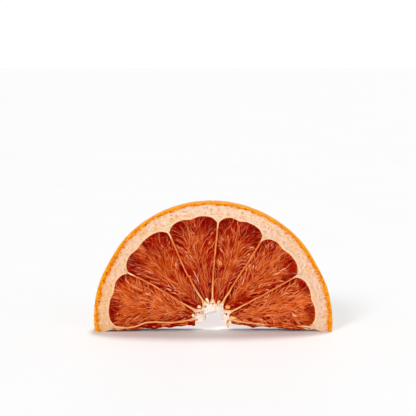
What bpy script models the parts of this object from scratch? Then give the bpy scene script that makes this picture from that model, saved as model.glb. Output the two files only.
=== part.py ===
"""Half slice of dried grapefruit, standing upright on its cut edge.

One solid: a half disc of rind, pith and core, with six segments sunk between thin
membrane walls on both faces, small seeds at the segment tips, and an arched, torn
lower edge with a gap where the core has broken away. Metres, +Z up. The front face
looks along -Y, and the origin lies on the surface that the slice stands on, below
the fruit's axis. A plan point is given as a radius and an angle about that axis,
counted from +X towards +Z.
"""

import math

import bmesh
import bpy
from mathutils import Matrix, Vector, noise

MM = 0.001

# The slice as a whole.
RIND_RADIUS = 48.1 * MM
THICKNESS = 8.6 * MM
AXIS_HEIGHT = 6.1 * MM
RIM_ROUNDING = 1.1 * MM
RIM_STEPS = 76

# Out-of-roundness of the rind: a flatter top, and two dents from drying.
RIND_LEAN = 0.14 * MM
RIND_FLATTENING = 1.74 * MM
RIND_SKEW = 0.43 * MM
DENT_ANGLES = (26.0, 152.0)
DENT_DEPTH = 0.38 * MM
DENT_WIDTH = 8.0

# The lower edge, where the slice was cut and has dried: its two feet, and the torn edge
# between them, as distances from the middle and heights on each side.
FOOT_OUTER = 46.9 * MM
FOOT_INNER = 43.6 * MM
PITH_END = 40.0 * MM
LEFT_EDGE = (
    (7.0, 2.7), (8.5, 2.2), (10.3, 2.5), (12.7, 2.1), (15.2, 2.0), (17.6, 1.5), (20.0, 1.7),
    (24.0, 1.0), (27.3, 1.4), (31.4, 0.8), (36.0, 0.65), (40.0, 0.4), (43.6, 0.0),
)
RIGHT_EDGE = (
    (5.0, 2.5), (7.2, 2.8), (10.6, 2.2), (16.2, 1.3), (18.5, 1.8), (23.6, 1.6), (30.1, 0.9),
    (37.0, 0.95), (39.6, 1.1), (43.6, 0.3),
)
EDGE_STEP = 1.5 * MM
EDGE_LAYERS = 4
EDGE_BAND = 11.0 * MM
TORN_DEPTH = 0.5 * MM
TORN_GRAIN = 1.1 * MM

# The gap left by the core, from its left foot over the top to its right foot.
CORE_GAP = [
    Vector((x * MM, 0.0, z * MM))
    for x, z in (
        (-7.5, 2.6), (-4.4, 2.7), (-3.0, 4.3), (-2.8, 7.0), (-0.6, 6.8), (1.0, 7.7),
        (2.1, 9.9), (3.3, 10.6), (3.5, 8.8), (3.2, 7.1), (3.6, 5.6), (2.8, 3.2), (4.8, 2.5),
    )
]

# Membrane walls from right to left: each one's course from the core to the rind, as radii
# in millimetres and angles.
WALLS = (
    ((8.0, -10.5), (12.0, -11.0), (16.0, -9.8), (24.0, -8.3), (32.0, -6.7), (40.0, -5.9)),
    ((8.0, 17.5), (12.0, 20.5), (16.0, 22.5), (24.0, 24.5), (38.0, 26.5)),
    ((8.0, 57.2), (14.0, 58.2), (28.0, 57.7), (38.0, 58.2)),
    ((8.0, 93.0), (16.0, 90.5), (24.0, 88.8), (38.0, 87.2)),
    ((8.0, 124.0), (16.0, 122.0), (24.0, 120.7), (32.0, 118.7), (38.0, 118.0)),
    ((8.0, 160.0), (12.0, 157.0), (16.0, 155.0), (20.0, 153.5), (28.0, 152.3), (38.0, 152.5)),
    ((8.0, 188.0), (12.0, 188.7), (18.0, 187.8), (24.0, 184.8), (31.0, 187.0), (40.0, 185.6)),
)
WALL_THICKNESS = 0.66 * MM

# Segments from right to left: tip radius, the radii of the two lobes that the rind
# bounds, and where the cleft between the lobes lies, as a share of the width.
SEGMENTS = (
    (6.5 * MM, 41.6 * MM, 39.4 * MM, 0.50),
    (5.3 * MM, 40.0 * MM, 39.2 * MM, 0.56),
    (5.3 * MM, 40.2 * MM, 40.8 * MM, 0.58),
    (5.8 * MM, 40.8 * MM, 41.0 * MM, 0.51),
    (5.9 * MM, 41.3 * MM, 41.8 * MM, 0.58),
    (7.3 * MM, 41.5 * MM, 42.4 * MM, 0.40),
)
CORNER_DROP = 3.0 * MM
CORNER_POWER = 5.0
TIP_RISE = 2.3 * MM
TIP_POWER = 2.5
CLEFT_DEPTH = 0.65 * MM
CLEFT_WIDTH = 0.15

# How far the dried flesh has sunk below the faces, and its ridges of juice sacs.
FLESH_SINK = 0.85 * MM
FLESH_RIND_SINK = 0.75 * MM
FLESH_TIP_SINK = 0.45 * MM
FLESH_RIND_POWER = 6
FLESH_TIP_POWER = 3
SAC_RIDGE = 0.42 * MM
SACS_ACROSS = 5.0
SACS_ALONG = 1.8
SAC_FAN_AT_TIP = 0.45
SAC_SEED_STEPS = (11.0, 3.7)
POCKET_COLUMNS = 13
POCKET_ROWS = 15
CUTTER_MARGIN = 2.0 * MM

# Seeds on the front face: place, length, width and tilt of the long axis.
FRONT_SEEDS = (
    (-8.0, 6.5, 1.5, 1.3, 0.0), (-5.5, 10.0, 1.7, 1.2, -15.0), (-2.4, 12.5, 2.7, 1.3, -64.0),
    (2.0, 11.8, 2.3, 0.9, 56.0), (5.9, 10.0, 1.9, 1.6, 10.0), (7.9, 5.2, 2.6, 1.0, -5.0),
)
BACK_SEEDS = (
    (-7.9, 6.0, 2.2, 1.1, 8.0), (-5.3, 10.3, 1.5, 1.2, 40.0), (0.6, 12.2, 2.4, 1.1, 80.0),
    (6.2, 9.4, 2.0, 1.2, -50.0),
)
SEED_BURIAL = 1.3 * MM

# Hollows where two segment walls part beside the core, and a fibre that hangs there.
HOLLOW_RADIUS = 0.45 * MM
HOLLOW_DEPTH = 1.2 * MM
HOLLOW_PLACE = 5.6 * MM
FIBRE_TOP = Vector((5.4 * MM, -2.9 * MM, 4.4 * MM))
FIBRE_BOTTOM = Vector((5.1 * MM, -3.2 * MM, 1.6 * MM))
FIBRE_WIDTH = 1.0 * MM
FIBRE_SIDES = 8

SHARP_ANGLE = 35.0
TINY = 0.1 * MM


def plan_point(radius, angle, depth=0.0):
    """The point at a radius and an angle in degrees about the fruit's axis."""
    turn = math.radians(angle)
    return Vector((radius * math.cos(turn), depth, AXIS_HEIGHT + radius * math.sin(turn)))


def rind_radius(angle):
    """The rind's outer radius at an angle in degrees."""
    turn = math.radians(angle)
    radius = RIND_RADIUS - RIND_LEAN * math.cos(turn) - RIND_FLATTENING * math.sin(turn)
    radius -= RIND_SKEW * math.sin(2.0 * turn)
    for dent in DENT_ANGLES:
        radius -= DENT_DEPTH * math.exp(-(((angle - dent) / DENT_WIDTH) ** 2))
    return radius


def between(course, place):
    """The value at a place on a course of pairs in rising order, held beyond its ends."""
    if place <= course[0][0]:
        return course[0][1]
    for (start, low), (end, high) in zip(course, course[1:]):
        if place <= end:
            return low + (high - low) * (place - start) / (end - start)
    return course[-1][1]


def wall_angle(wall, radius):
    """The angle of a membrane wall's centre line at a radius."""
    return between(WALLS[wall], radius / MM)


def pocket_point(segment, across, along):
    """A plan point in a segment, from its low wall to its high one and from tip to rind."""
    tip, low_lobe, high_lobe, cleft = SEGMENTS[segment]
    side = abs(2.0 * across - 1.0)
    inner = tip + TIP_RISE * side**TIP_POWER
    outer = low_lobe + (high_lobe - low_lobe) * across - CORNER_DROP * side**CORNER_POWER
    outer -= CLEFT_DEPTH * max(0.0, 1.0 - abs(across - cleft) / CLEFT_WIDTH)
    radius = inner + (outer - inner) * along
    wall = math.degrees(math.asin(0.5 * WALL_THICKNESS / radius))
    low = wall_angle(segment, radius) + wall
    high = wall_angle(segment + 1, radius) - wall
    return plan_point(radius, low + (high - low) * across)


def flesh_depth(across, along, seed):
    """How far below the face the flesh lies, deeper by the rind and the tip, ridged by sacs."""
    depth = FLESH_SINK + FLESH_RIND_SINK * along**FLESH_RIND_POWER
    depth += FLESH_TIP_SINK * (1.0 - along) ** FLESH_TIP_POWER
    fan = (2.0 * across - 1.0) / (SAC_FAN_AT_TIP + (1.0 - SAC_FAN_AT_TIP) * along)
    sacs = noise.noise(Vector((SACS_ACROSS * fan, SACS_ALONG * along, seed)))
    return depth - SAC_RIDGE * sacs


def torn(x, depth=0.0):
    """How far the torn lower edge departs from its course at a place, up or down."""
    return TORN_DEPTH * noise.noise(Vector((x, depth, 0.0)) / TORN_GRAIN)


def lower_edge(start, end):
    """Points of the torn lower edge from one x to another, on one side of the core."""
    course = LEFT_EDGE if start < 0.0 else RIGHT_EDGE
    steps = round(abs(end - start) / EDGE_STEP)
    points = []
    for step in range(steps + 1):
        x = start + (end - start) * step / steps
        height = between(course, abs(x) / MM) * MM
        points.append(Vector((x, 0.0, height + torn(x))))
    return points


def slice_outline():
    """The closed outline of the slice, anticlockwise as seen from the front."""
    foot_drop = math.degrees(math.asin(AXIS_HEIGHT / FOOT_OUTER))
    sweep = 180.0 + 2.0 * foot_drop
    angles = [-foot_drop + sweep * step / RIM_STEPS for step in range(1, RIM_STEPS)]
    rim = [plan_point(rind_radius(angle), angle) for angle in angles]
    left = [Vector((-FOOT_OUTER, 0.0, 0.0)), Vector((-FOOT_INNER, 0.0, 0.0))]
    left += lower_edge(-PITH_END, CORE_GAP[0].x - EDGE_STEP)
    right = lower_edge(CORE_GAP[-1].x + EDGE_STEP, PITH_END)
    right += [Vector((FOOT_INNER, 0.0, 0.0)), Vector((FOOT_OUTER, 0.0, 0.0))]
    return rim + left + CORE_GAP + right


def mesh_object(name, shape, material=None):
    """Turns a bmesh into an object of the scene, with its faces pointing outwards."""
    bmesh.ops.recalc_face_normals(shape, faces=shape.faces)
    mesh = bpy.data.meshes.new(name)
    shape.to_mesh(mesh)
    shape.free()
    if material:
        mesh.materials.append(material)
    item = bpy.data.objects.new(name, mesh)
    bpy.context.scene.collection.objects.link(item)
    return item


def make_plate(material):
    """The half disc of rind and pith, with a rounded rim and a ragged lower edge."""
    shape = bmesh.new()
    to_front = Vector((0.0, -THICKNESS / 2, 0.0))
    front = [shape.verts.new(point + to_front) for point in slice_outline()]
    face = shape.faces.new(front)
    grown = bmesh.ops.extrude_face_region(shape, geom=[face])
    back = [item for item in grown["geom"] if isinstance(item, bmesh.types.BMVert)]
    bmesh.ops.translate(shape, verts=back, vec=(0.0, THICKNESS, 0.0))

    across = [edge for edge in shape.edges if abs(edge.verts[0].co.y - edge.verts[1].co.y) > MM]
    in_edge = [edge for edge in across if is_torn_edge(edge)]
    bmesh.ops.subdivide_edges(shape, edges=in_edge, cuts=EDGE_LAYERS - 1)
    for vert in shape.verts:
        if abs(vert.co.y) < THICKNESS / 2 - TINY and vert.co.z > TINY:
            vert.co.z += torn(vert.co.x, vert.co.y)

    rounded = [edge for edge in shape.edges if is_rim_edge(edge)]
    bmesh.ops.bevel(
        shape, geom=rounded, offset=RIM_ROUNDING, offset_type="OFFSET", segments=3,
        profile=0.5, affect="EDGES", material=-1,
    )
    return mesh_object("dried_grapefruit_slice", shape, material)


def is_torn_edge(edge):
    """True for an edge across the slice that lies in its torn lower edge or its core gap."""
    place = edge.verts[0].co
    return abs(place.x) < PITH_END + TINY and place.z < EDGE_BAND


def is_rim_edge(edge):
    """True for an edge of the front or the back face that runs along the rind."""
    first, second = (vert.co for vert in edge.verts)
    on_face = abs(first.y - second.y) < TINY and abs(first.y) > THICKNESS / 2 - TINY
    axis = Vector((0.0, 0.0, AXIS_HEIGHT))
    far = [(Vector((co.x, 0.0, co.z)) - axis).length > FOOT_INNER for co in (first, second)]
    return on_face and all(far) and max(first.z, second.z) > TINY


def make_pocket_cutter(segment, side):
    """A block that sinks one segment into a face: side is -1 on the front and 1 on the back."""
    shape = bmesh.new()
    made = bmesh.ops.create_grid(
        shape, x_segments=POCKET_COLUMNS, y_segments=POCKET_ROWS, size=0.5,
    )
    seed = SAC_SEED_STEPS[0] * segment + SAC_SEED_STEPS[1] * side
    for vert in made["verts"]:
        across, along = vert.co.x + 0.5, vert.co.y + 0.5
        vert.co = pocket_point(segment, across, along)
        vert.co.y = side * (THICKNESS / 2 - flesh_depth(across, along, seed))
    grown = bmesh.ops.extrude_face_region(shape, geom=list(shape.faces))
    for item in grown["geom"]:
        if isinstance(item, bmesh.types.BMVert):
            item.co.y = side * (THICKNESS / 2 + CUTTER_MARGIN)
    return mesh_object(f"pocket_{segment}_{side}", shape)


def make_hollow_cutter(wall, side):
    """A three-sided pit beside the core, where the walls of two segments part."""
    shape = bmesh.new()
    place = plan_point(HOLLOW_PLACE, wall_angle(wall, HOLLOW_PLACE), side * THICKNESS / 2)
    turn = Matrix.Rotation(math.radians(90.0), 4, "X")
    bmesh.ops.create_cone(
        shape, cap_ends=True, segments=3, radius1=HOLLOW_RADIUS, radius2=HOLLOW_RADIUS,
        depth=2.0 * HOLLOW_DEPTH, matrix=Matrix.Translation(place) @ turn,
    )
    return mesh_object(f"hollow_{wall}_{side}", shape)


def make_seed(place, side):
    """A small seed, half buried in the flesh."""
    x, z, length, width, tilt = place
    shape = bmesh.new()
    at = Vector((x * MM, side * (THICKNESS / 2 - SEED_BURIAL), z * MM))
    turn = Matrix.Rotation(-math.radians(tilt), 4, "Y")
    size = Matrix.Diagonal((length * MM / 2, width * MM / 2, width * MM / 2, 1.0))
    bmesh.ops.create_icosphere(
        shape, subdivisions=2, radius=1.0, matrix=Matrix.Translation(at) @ turn @ size,
    )
    return mesh_object(f"seed_{side}_{x}", shape)


def make_fibre():
    """The short fibre that hangs from the right side of the core, thinner at its end."""
    shape = bmesh.new()
    run = FIBRE_BOTTOM - FIBRE_TOP
    turn = run.to_track_quat("Z", "X").to_matrix().to_4x4()
    bmesh.ops.create_cone(
        shape, cap_ends=True, segments=FIBRE_SIDES, radius1=FIBRE_WIDTH / 2, radius2=FIBRE_WIDTH / 3,
        depth=run.length, matrix=Matrix.Translation((FIBRE_TOP + FIBRE_BOTTOM) / 2) @ turn,
    )
    return mesh_object("fibre", shape)


def combine(target, tools, operation):
    """Applies one Boolean of all the tools to the target and removes them."""
    group = bpy.data.collections.new("tools")
    bpy.context.scene.collection.children.link(group)
    for tool in tools:
        bpy.context.scene.collection.objects.unlink(tool)
        group.objects.link(tool)
    modifier = target.modifiers.new(operation.lower(), "BOOLEAN")
    modifier.operation = operation
    modifier.operand_type = "COLLECTION"
    modifier.collection = group
    modifier.solver = "EXACT"
    bpy.context.view_layer.update()
    seen = target.evaluated_get(bpy.context.evaluated_depsgraph_get())
    result = bpy.data.meshes.new_from_object(seen)
    target.modifiers.clear()
    target.data = result
    for tool in tools:
        bpy.data.objects.remove(tool)
    bpy.data.collections.remove(group)


def make_material():
    """A plain orange-red finish for the whole slice."""
    material = bpy.data.materials.new("dried_grapefruit")
    material.use_nodes = True
    shader = material.node_tree.nodes["Principled BSDF"]
    shader.inputs["Base Color"].default_value = (0.72, 0.23, 0.07, 1.0)
    shader.inputs["Roughness"].default_value = 0.45
    shader.inputs["Metallic"].default_value = 0.0
    return material


def main():
    """Builds the slice: the plate, its sunk segments and hollows, then the seeds."""
    for item in list(bpy.data.objects):
        bpy.data.objects.remove(item)
    plate = make_plate(make_material())
    sides = (-1, 1)
    cutters = [make_pocket_cutter(i, side) for i in range(len(SEGMENTS)) for side in sides]
    cutters += [make_hollow_cutter(i, side) for i in range(1, len(WALLS) - 1) for side in sides]
    combine(plate, cutters, "DIFFERENCE")
    seeds = [make_seed(place, -1) for place in FRONT_SEEDS]
    seeds += [make_seed(place, 1) for place in BACK_SEEDS]
    combine(plate, seeds + [make_fibre()], "UNION")
    plate.data.shade_smooth()
    plate.data.set_sharp_from_angle(angle=math.radians(SHARP_ANGLE))


if __name__ == "__main__":
    main()
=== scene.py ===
"""Looks of a half slice of dried grapefruit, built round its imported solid.

The slice stands upright on its cut edge, with its shown face along -Y. A plan point is
given as a radius and an angle about the fruit's axis, counted from +X towards +Z, and
the two faces lie at equal depths before and behind the plan. Metres throughout.
"""

import logging
import math
from collections.abc import Callable, Sequence
from dataclasses import dataclass, field
from enum import Enum
from functools import cache, cached_property, partial, reduce
from typing import NamedTuple

import bmesh
import bpy
import numpy as np
from mathutils import Matrix, Vector


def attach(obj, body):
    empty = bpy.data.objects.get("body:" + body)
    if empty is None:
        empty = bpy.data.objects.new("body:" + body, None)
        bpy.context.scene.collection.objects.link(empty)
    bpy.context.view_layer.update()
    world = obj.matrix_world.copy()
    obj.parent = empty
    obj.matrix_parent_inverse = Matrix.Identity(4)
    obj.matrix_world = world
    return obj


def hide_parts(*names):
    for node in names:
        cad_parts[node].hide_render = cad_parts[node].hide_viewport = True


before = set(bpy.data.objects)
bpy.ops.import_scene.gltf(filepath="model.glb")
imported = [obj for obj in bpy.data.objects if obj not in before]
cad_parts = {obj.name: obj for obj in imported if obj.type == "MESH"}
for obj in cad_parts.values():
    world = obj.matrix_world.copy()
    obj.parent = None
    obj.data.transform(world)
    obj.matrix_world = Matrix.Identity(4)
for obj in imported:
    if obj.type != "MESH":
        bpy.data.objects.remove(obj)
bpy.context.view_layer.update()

MM = 0.001
NODE = "dried_grapefruit_slice"
BODY = "root"

LOG = logging.getLogger("grapefruit")

Array = np.ndarray
Placed = tuple[Array, dict[str, Array]]
Colour = tuple[float, float, float]
Material = bpy.types.Material
Socket = bpy.types.NodeSocket
Fed = Socket | float | Colour


class Face(Enum):
    """A cut face of the slice, by the side of the plan that it lies on."""

    FRONT = -1
    BACK = 1


class Hand(Enum):
    """A side of the slice, by the sign of its x."""

    LEFT = -1
    RIGHT = 1


# ------------ shapes and noise


def smooth_step(low: float, high: float, value: Array) -> Array:
    """Eases from 0 to 1 as a value goes from low to high.

    Args:
        low: Value at which the result leaves 0.
        high: Value at which it reaches 1.
        value: The values.

    Returns:
        The eased values.
    """
    share = np.clip((value - low) / (high - low), 0.0, 1.0)
    return share * share * (3.0 - 2.0 * share)


def rows(*columns: Array | float) -> Array:
    """Sets columns side by side, filled up to three with zeros."""
    return np.column_stack(np.broadcast_arrays(*columns, *(0.0,) * (3 - len(columns))))


@dataclass(frozen=True)
class Grain:
    """Smooth noise from -1 to 1, the same on each run for the same seed."""

    seed: int
    entries: int = 8192

    @cached_property
    def table(self) -> Array:
        """The random values at the lattice points."""
        return np.random.default_rng(self.seed).uniform(-1.0, 1.0, self.entries)

    def lattice(self, cell: Array) -> Array:
        """Gives the random value of each lattice point.

        Args:
            cell: Whole lattice coordinates, one row a point.

        Returns:
            One value a row.
        """
        mixed = np.zeros(len(cell), np.int64)
        for column, prime in zip(cell.T, (73856093, 19349663, 83492791)):
            mixed ^= column * prime
        mixed ^= mixed >> 13
        return self.table[np.abs(mixed * 1274126177 + self.seed) % self.entries]

    def at(self, points: Array, size: float | Sequence[float]) -> Array:
        """Gives the noise at some points.

        Args:
            points: Coordinates, one row a point.
            size: Size of a wave, or one size for each coordinate.

        Returns:
            One value a point.
        """
        scaled = points / np.asarray(size)
        base = np.floor(scaled)
        part = scaled - base
        part = part * part * part * (part * (6.0 * part - 15.0) + 10.0)
        base = base.astype(np.int64)
        total = np.zeros(len(points))
        for corner in np.ndindex(*(2,) * points.shape[1]):
            weight = np.prod(np.where(np.array(corner, bool), part, 1.0 - part), axis=1)
            total += weight * self.lattice(base + np.array(corner))
        return total

    def rough(self, points: Array, size: float, octaves: int = 3) -> Array:
        """Sums the noise over ever finer waves.

        Args:
            points: Coordinates, one row a point.
            size: Size of the coarsest wave.
            octaves: How many sizes are summed, each half the one before.

        Returns:
            One value a point.
        """
        total = np.zeros(len(points))
        for octave in range(octaves):
            total += self.at(points + 17.3 * size * octave, size / 2**octave) / 2**octave
        return total / 1.6

    def cells(self, points: Array, size: float) -> Array:
        """Gives the distance to the nearest of many scattered points, in cell sizes.

        Args:
            points: Plane coordinates, one row a point.
            size: Mean distance between the scattered points.

        Returns:
            One distance a point.
        """
        scaled = points / size
        base = np.floor(scaled).astype(np.int64)
        nearest = np.full(len(points), 9.0)
        other = Grain(self.seed + 1)
        for step in np.ndindex(3, 3):
            cell = base + np.array(step) - 1
            shift = np.column_stack((self.lattice(cell), other.lattice(cell)))
            away = cell + 0.5 + 0.4 * shift - scaled
            nearest = np.minimum(nearest, np.hypot(away[:, 0], away[:, 1]))
        return nearest


def unit_block(across: int, along: int, deep: int) -> bmesh.types.BMesh:
    """Makes a closed block from 0 to 1 each way, with even rows of faces on all sides.

    Args:
        across: Faces along X.
        along: Faces along Y.
        deep: Faces along Z.

    Returns:
        The block.
    """
    shape = bmesh.new()
    middle = Matrix.Translation((0.5, 0.5, 0.0))
    bmesh.ops.create_grid(shape, x_segments=across, y_segments=along, size=0.5, matrix=middle)
    grown = bmesh.ops.extrude_face_region(shape, geom=list(shape.faces))
    top = [item for item in grown["geom"] if isinstance(item, bmesh.types.BMVert)]
    bmesh.ops.translate(shape, verts=top, vec=(0.0, 0.0, 1.0))
    upright = [edge for edge in shape.edges if abs(edge.verts[0].co.z - edge.verts[1].co.z) > 0.5]
    bmesh.ops.subdivide_edges(shape, edges=upright, cuts=deep - 1)
    bmesh.ops.recalc_face_normals(shape, faces=shape.faces)
    return shape


def unit_ring(section: Sequence[tuple[float, float]], steps: int) -> bmesh.types.BMesh:
    """Turns a closed section into a ring of radius 1 about Z.

    Args:
        section: Points of the section, as distances from the ring's middle and heights.
        steps: Faces round the ring.

    Returns:
        The ring.
    """
    shape = bmesh.new()
    verts = [shape.verts.new((1.0 + out, 0.0, height)) for out, height in section]
    edges = [shape.edges.new((verts[i - 1], verts[i])) for i in range(len(verts))]
    bmesh.ops.spin(
        shape, geom=verts + edges, cent=(0.0, 0.0, 0.0), axis=(0.0, 0.0, 1.0),
        angle=2.0 * math.pi, steps=steps, use_merge=True,
    )
    bmesh.ops.recalc_face_normals(shape, faces=shape.faces)
    return shape


def finished_piece(
    name: str, shape: bmesh.types.BMesh, place: Callable[[Array], Placed], material: Material
) -> bpy.types.Object:
    """Draws a unit shape out to its real form and adds it to the slice.

    Args:
        name: Name of the piece.
        shape: The unit shape, which is used up.
        place: Gives the real points and the named values of each point, from the unit points.
        material: Finish of the piece.

    Returns:
        The piece.
    """
    mesh = bpy.data.meshes.new(name)
    shape.to_mesh(mesh)
    shape.free()
    unit = np.empty(len(mesh.vertices) * 3, np.float32)
    mesh.vertices.foreach_get("co", unit)
    points, values = place(unit.reshape(-1, 3).astype(float))
    mesh.vertices.foreach_set("co", points.astype(np.float32).ravel())
    mesh.update()
    if signed_volume(mesh) < 0.0:
        mesh.flip_normals()
    for key, rows in values.items():
        layer = mesh.attributes.new(key, "FLOAT_VECTOR", "POINT")
        layer.data.foreach_set("vector", rows.astype(np.float32).ravel())
    mesh.shade_smooth()
    mesh.materials.append(material)
    piece = bpy.data.objects.new(name, mesh)
    bpy.context.scene.collection.objects.link(piece)
    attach(piece, BODY)
    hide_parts(NODE)
    LOG.info("%s: %d faces", name, len(mesh.polygons))
    return piece


def signed_volume(mesh: bpy.types.Mesh) -> float:
    """Gives a closed mesh's volume, below zero where its faces point inwards.

    Args:
        mesh: The mesh.

    Returns:
        The volume.
    """
    mesh.calc_loop_triangles()
    corners = np.empty(len(mesh.loop_triangles) * 3, np.int32)
    mesh.loop_triangles.foreach_get("vertices", corners)
    points = np.empty(len(mesh.vertices) * 3, np.float32)
    mesh.vertices.foreach_get("co", points)
    first, second, third = points.reshape(-1, 3)[corners.reshape(-1, 3)].transpose(1, 0, 2)
    return float(np.einsum("ij,ij->i", first, np.cross(second, third)).sum() / 6.0)


# ------------ plan of the fruit


@dataclass(frozen=True)
class Wall:
    """Middle line of a membrane wall, as pairs of a radius and an angle, core first."""

    course: tuple[tuple[float, float], ...]
    softness: float = 1.3 * MM
    wobble: float = 0.14 * MM
    wobble_length: float = 3.0 * MM
    table_step: float = 0.25
    easing_steps: int = 16

    @cached_property
    def table(self) -> tuple[Array, Array]:
        """Radii and the angles there, with the corners of the course eased."""
        radii = np.arange(0.0, 52.0, self.table_step) * MM
        given = np.array(self.course)
        steps = np.arange(-self.easing_steps, self.easing_steps + 1)
        spread = np.exp(-0.5 * (steps * self.table_step * MM / self.softness) ** 2)
        angles = np.interp(radii, given[:, 0] * MM, given[:, 1])
        padded = np.pad(angles, self.easing_steps, mode="edge")
        angles = np.convolve(padded, spread / spread.sum(), mode="valid")
        grain = Grain(1000 + round(10.0 * self.course[0][1]))
        shift = self.wobble * grain.rough(radii[:, None], self.wobble_length, 3)
        return radii, angles + np.degrees(shift / np.maximum(radii, 9.0 * MM))

    def angle(self, radius: Array) -> Array:
        """The wall's angle in degrees at a radius."""
        return np.interp(radius, *self.table)


@dataclass(frozen=True)
class FruitPlan:
    """Sizes of the whole slice, in the plan that both of its faces share."""

    rind_radius: float = 48.1 * MM
    axis_height: float = 6.1 * MM
    thickness: float = 8.6 * MM
    rind_lean: float = 0.14 * MM
    rind_flattening: float = 1.74 * MM
    rind_skew: float = 0.43 * MM
    dent_angles: tuple[float, ...] = (26.0, 152.0)
    dent_depth: float = 0.38 * MM
    dent_width: float = 8.0
    skin_allowance: float = 0.06 * MM
    foot_inner: float = 43.6 * MM
    pith_end: float = 40.0 * MM
    pith_end_height: float = 1.0 * MM
    arch_low: float = 0.7 * MM
    arch_rise: float = 1.6 * MM
    walls: tuple[Wall, ...] = (
        Wall(((8, -10.5), (12, -11.0), (16, -9.8), (24, -8.3), (32, -6.7), (40, -5.9))),
        Wall(((8, 17.5), (12, 20.5), (16, 22.5), (24, 24.5), (38, 26.5))),
        Wall(((8, 57.2), (14, 58.2), (28, 57.7), (38, 58.2))),
        Wall(((8, 93.0), (16, 90.5), (24, 88.8), (38, 87.2))),
        Wall(((8, 124.0), (16, 122.0), (24, 120.7), (32, 118.7), (38, 118.0))),
        Wall(((8, 160.0), (12, 157.0), (16, 155.0), (20, 153.5), (28, 152.3), (38, 152.5))),
        Wall((
            (8, 188.0), (12, 188.7), (18, 187.8), (24, 184.8), (28, 185.1), (31, 187.4),
            (35, 187.8), (40, 185.6),
        )),
    )

    def rim(self, angle: Array) -> Array:
        """Gives the rind's outer radius.

        Args:
            angle: Angles in degrees.

        Returns:
            The radii.
        """
        turn = np.radians(angle)
        radius = self.rind_radius - self.skin_allowance - self.rind_lean * np.cos(turn)
        radius = radius - self.rind_flattening * np.sin(turn) - self.rind_skew * np.sin(2.0 * turn)
        for dent in self.dent_angles:
            radius = radius - self.dent_depth * np.exp(-(((angle - dent) / self.dent_width) ** 2))
        return radius

    def cut_height(self, reach: Array) -> Array:
        """Gives the height of the cut lower edge, before tearing.

        Args:
            reach: Distances from the middle along X.

        Returns:
            The heights.
        """
        stations = (0.0, self.pith_end, self.pith_end + 0.1 * MM, self.foot_inner)
        heights = (self.arch_low + self.arch_rise, self.arch_low, self.pith_end_height, 0.0)
        return np.interp(np.abs(reach), stations, heights)

    def point(self, radius: Array, angle: Array, depth: Array) -> Array:
        """Turns plan places into points.

        Args:
            radius: Distances from the fruit's axis.
            angle: Angles in degrees.
            depth: Places along Y.

        Returns:
            The points, one row each.
        """
        turn = np.radians(angle)
        height = self.axis_height + radius * np.sin(turn)
        return np.column_stack((radius * np.cos(turn), depth, height))


PLAN = FruitPlan()


@dataclass(frozen=True)
class Pocket:
    """Outline of one segment between its walls, from its tip to its two outer lobes."""

    index: int
    tip: float
    low_lobe: float
    high_lobe: float
    cleft: float
    corner_drop: float = 3.0 * MM
    corner_power: float = 5.0
    tip_rise: float = 2.3 * MM
    tip_power: float = 2.5
    cleft_depth: float = 0.65 * MM
    cleft_width: float = 0.15
    wall_half: float = 0.33 * MM

    @property
    def low_wall(self) -> Wall:
        """The wall on the side of the smaller angle."""
        return PLAN.walls[self.index]

    @property
    def high_wall(self) -> Wall:
        """The wall on the side of the larger angle."""
        return PLAN.walls[self.index + 1]

    def ends(self, across: Array, inset: float) -> tuple[Array, Array]:
        """Gives the radii between which the pocket lies.

        Args:
            across: Places from the low wall, 0, to the high one, 1.
            inset: How far inside the walls' middle lines and the rind's edge.

        Returns:
            The radii at the tip and at the rind.
        """
        side = np.abs(2.0 * across - 1.0)
        inner = self.tip + self.tip_rise * side**self.tip_power - self.wall_half + inset
        outer = self.low_lobe + (self.high_lobe - self.low_lobe) * across + self.wall_half - inset
        notch = np.maximum(0.0, 1.0 - np.abs(across - self.cleft) / self.cleft_width)
        outer = outer - self.corner_drop * side**self.corner_power - self.cleft_depth * notch
        return inner, outer

    def plan(self, across: Array, along: Array, inset: float) -> tuple[Array, Array]:
        """Gives the plan places of shares across and along the pocket.

        Args:
            across: Places from the low wall, 0, to the high one, 1.
            along: Places from the tip, 0, to the rind, 1.
            inset: How far inside the walls' middle lines and the rind's edge.

        Returns:
            The radii, and the angles in degrees.
        """
        inner, outer = self.ends(across, inset)
        radius = inner + (outer - inner) * along
        margin = np.degrees(np.arcsin(inset / radius))
        low = self.low_wall.angle(radius) + margin
        high = self.high_wall.angle(radius) - margin
        return radius, low + (high - low) * across

    def rounded(self, inset: float, count: int, easing: int = 26) -> Array:
        """Gives the pocket's outline, evenly spaced and eased at its corners.

        Args:
            inset: How far inside the walls' middle lines and the rind's edge.
            count: Number of points.
            easing: How many times the corners are eased.

        Returns:
            The points as x and the height over the fruit's axis, clockwise from the tip.
        """
        share = np.linspace(0.0, 1.0, 400, endpoint=False)
        zero, one = np.zeros_like(share), np.ones_like(share)
        across = np.concatenate((share, one, 1.0 - share, zero))
        along = np.concatenate((zero, share, one, 1.0 - share))
        radius, angle = self.plan(across, along, inset)
        turn = np.radians(angle)
        points = np.column_stack((radius * np.cos(turn), radius * np.sin(turn)))
        for _ in range(easing):
            points = (np.roll(points, 1, 0) + 2.0 * points + np.roll(points, -1, 0)) / 4.0
        steps = np.linalg.norm(np.roll(points, -1, 0) - points, axis=1)
        travel = np.concatenate(([0.0], np.cumsum(steps)))
        closed = np.vstack((points, points[:1]))
        wanted = np.linspace(0.0, travel[-1], count, endpoint=False)
        return np.column_stack([np.interp(wanted, travel, closed[:, i]) for i in range(2)])

    def half_width(self, radius: Array) -> Array:
        """Half the pocket's width at a radius."""
        spread = self.high_wall.angle(radius) - self.low_wall.angle(radius)
        return 0.5 * np.radians(spread) * radius


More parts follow.
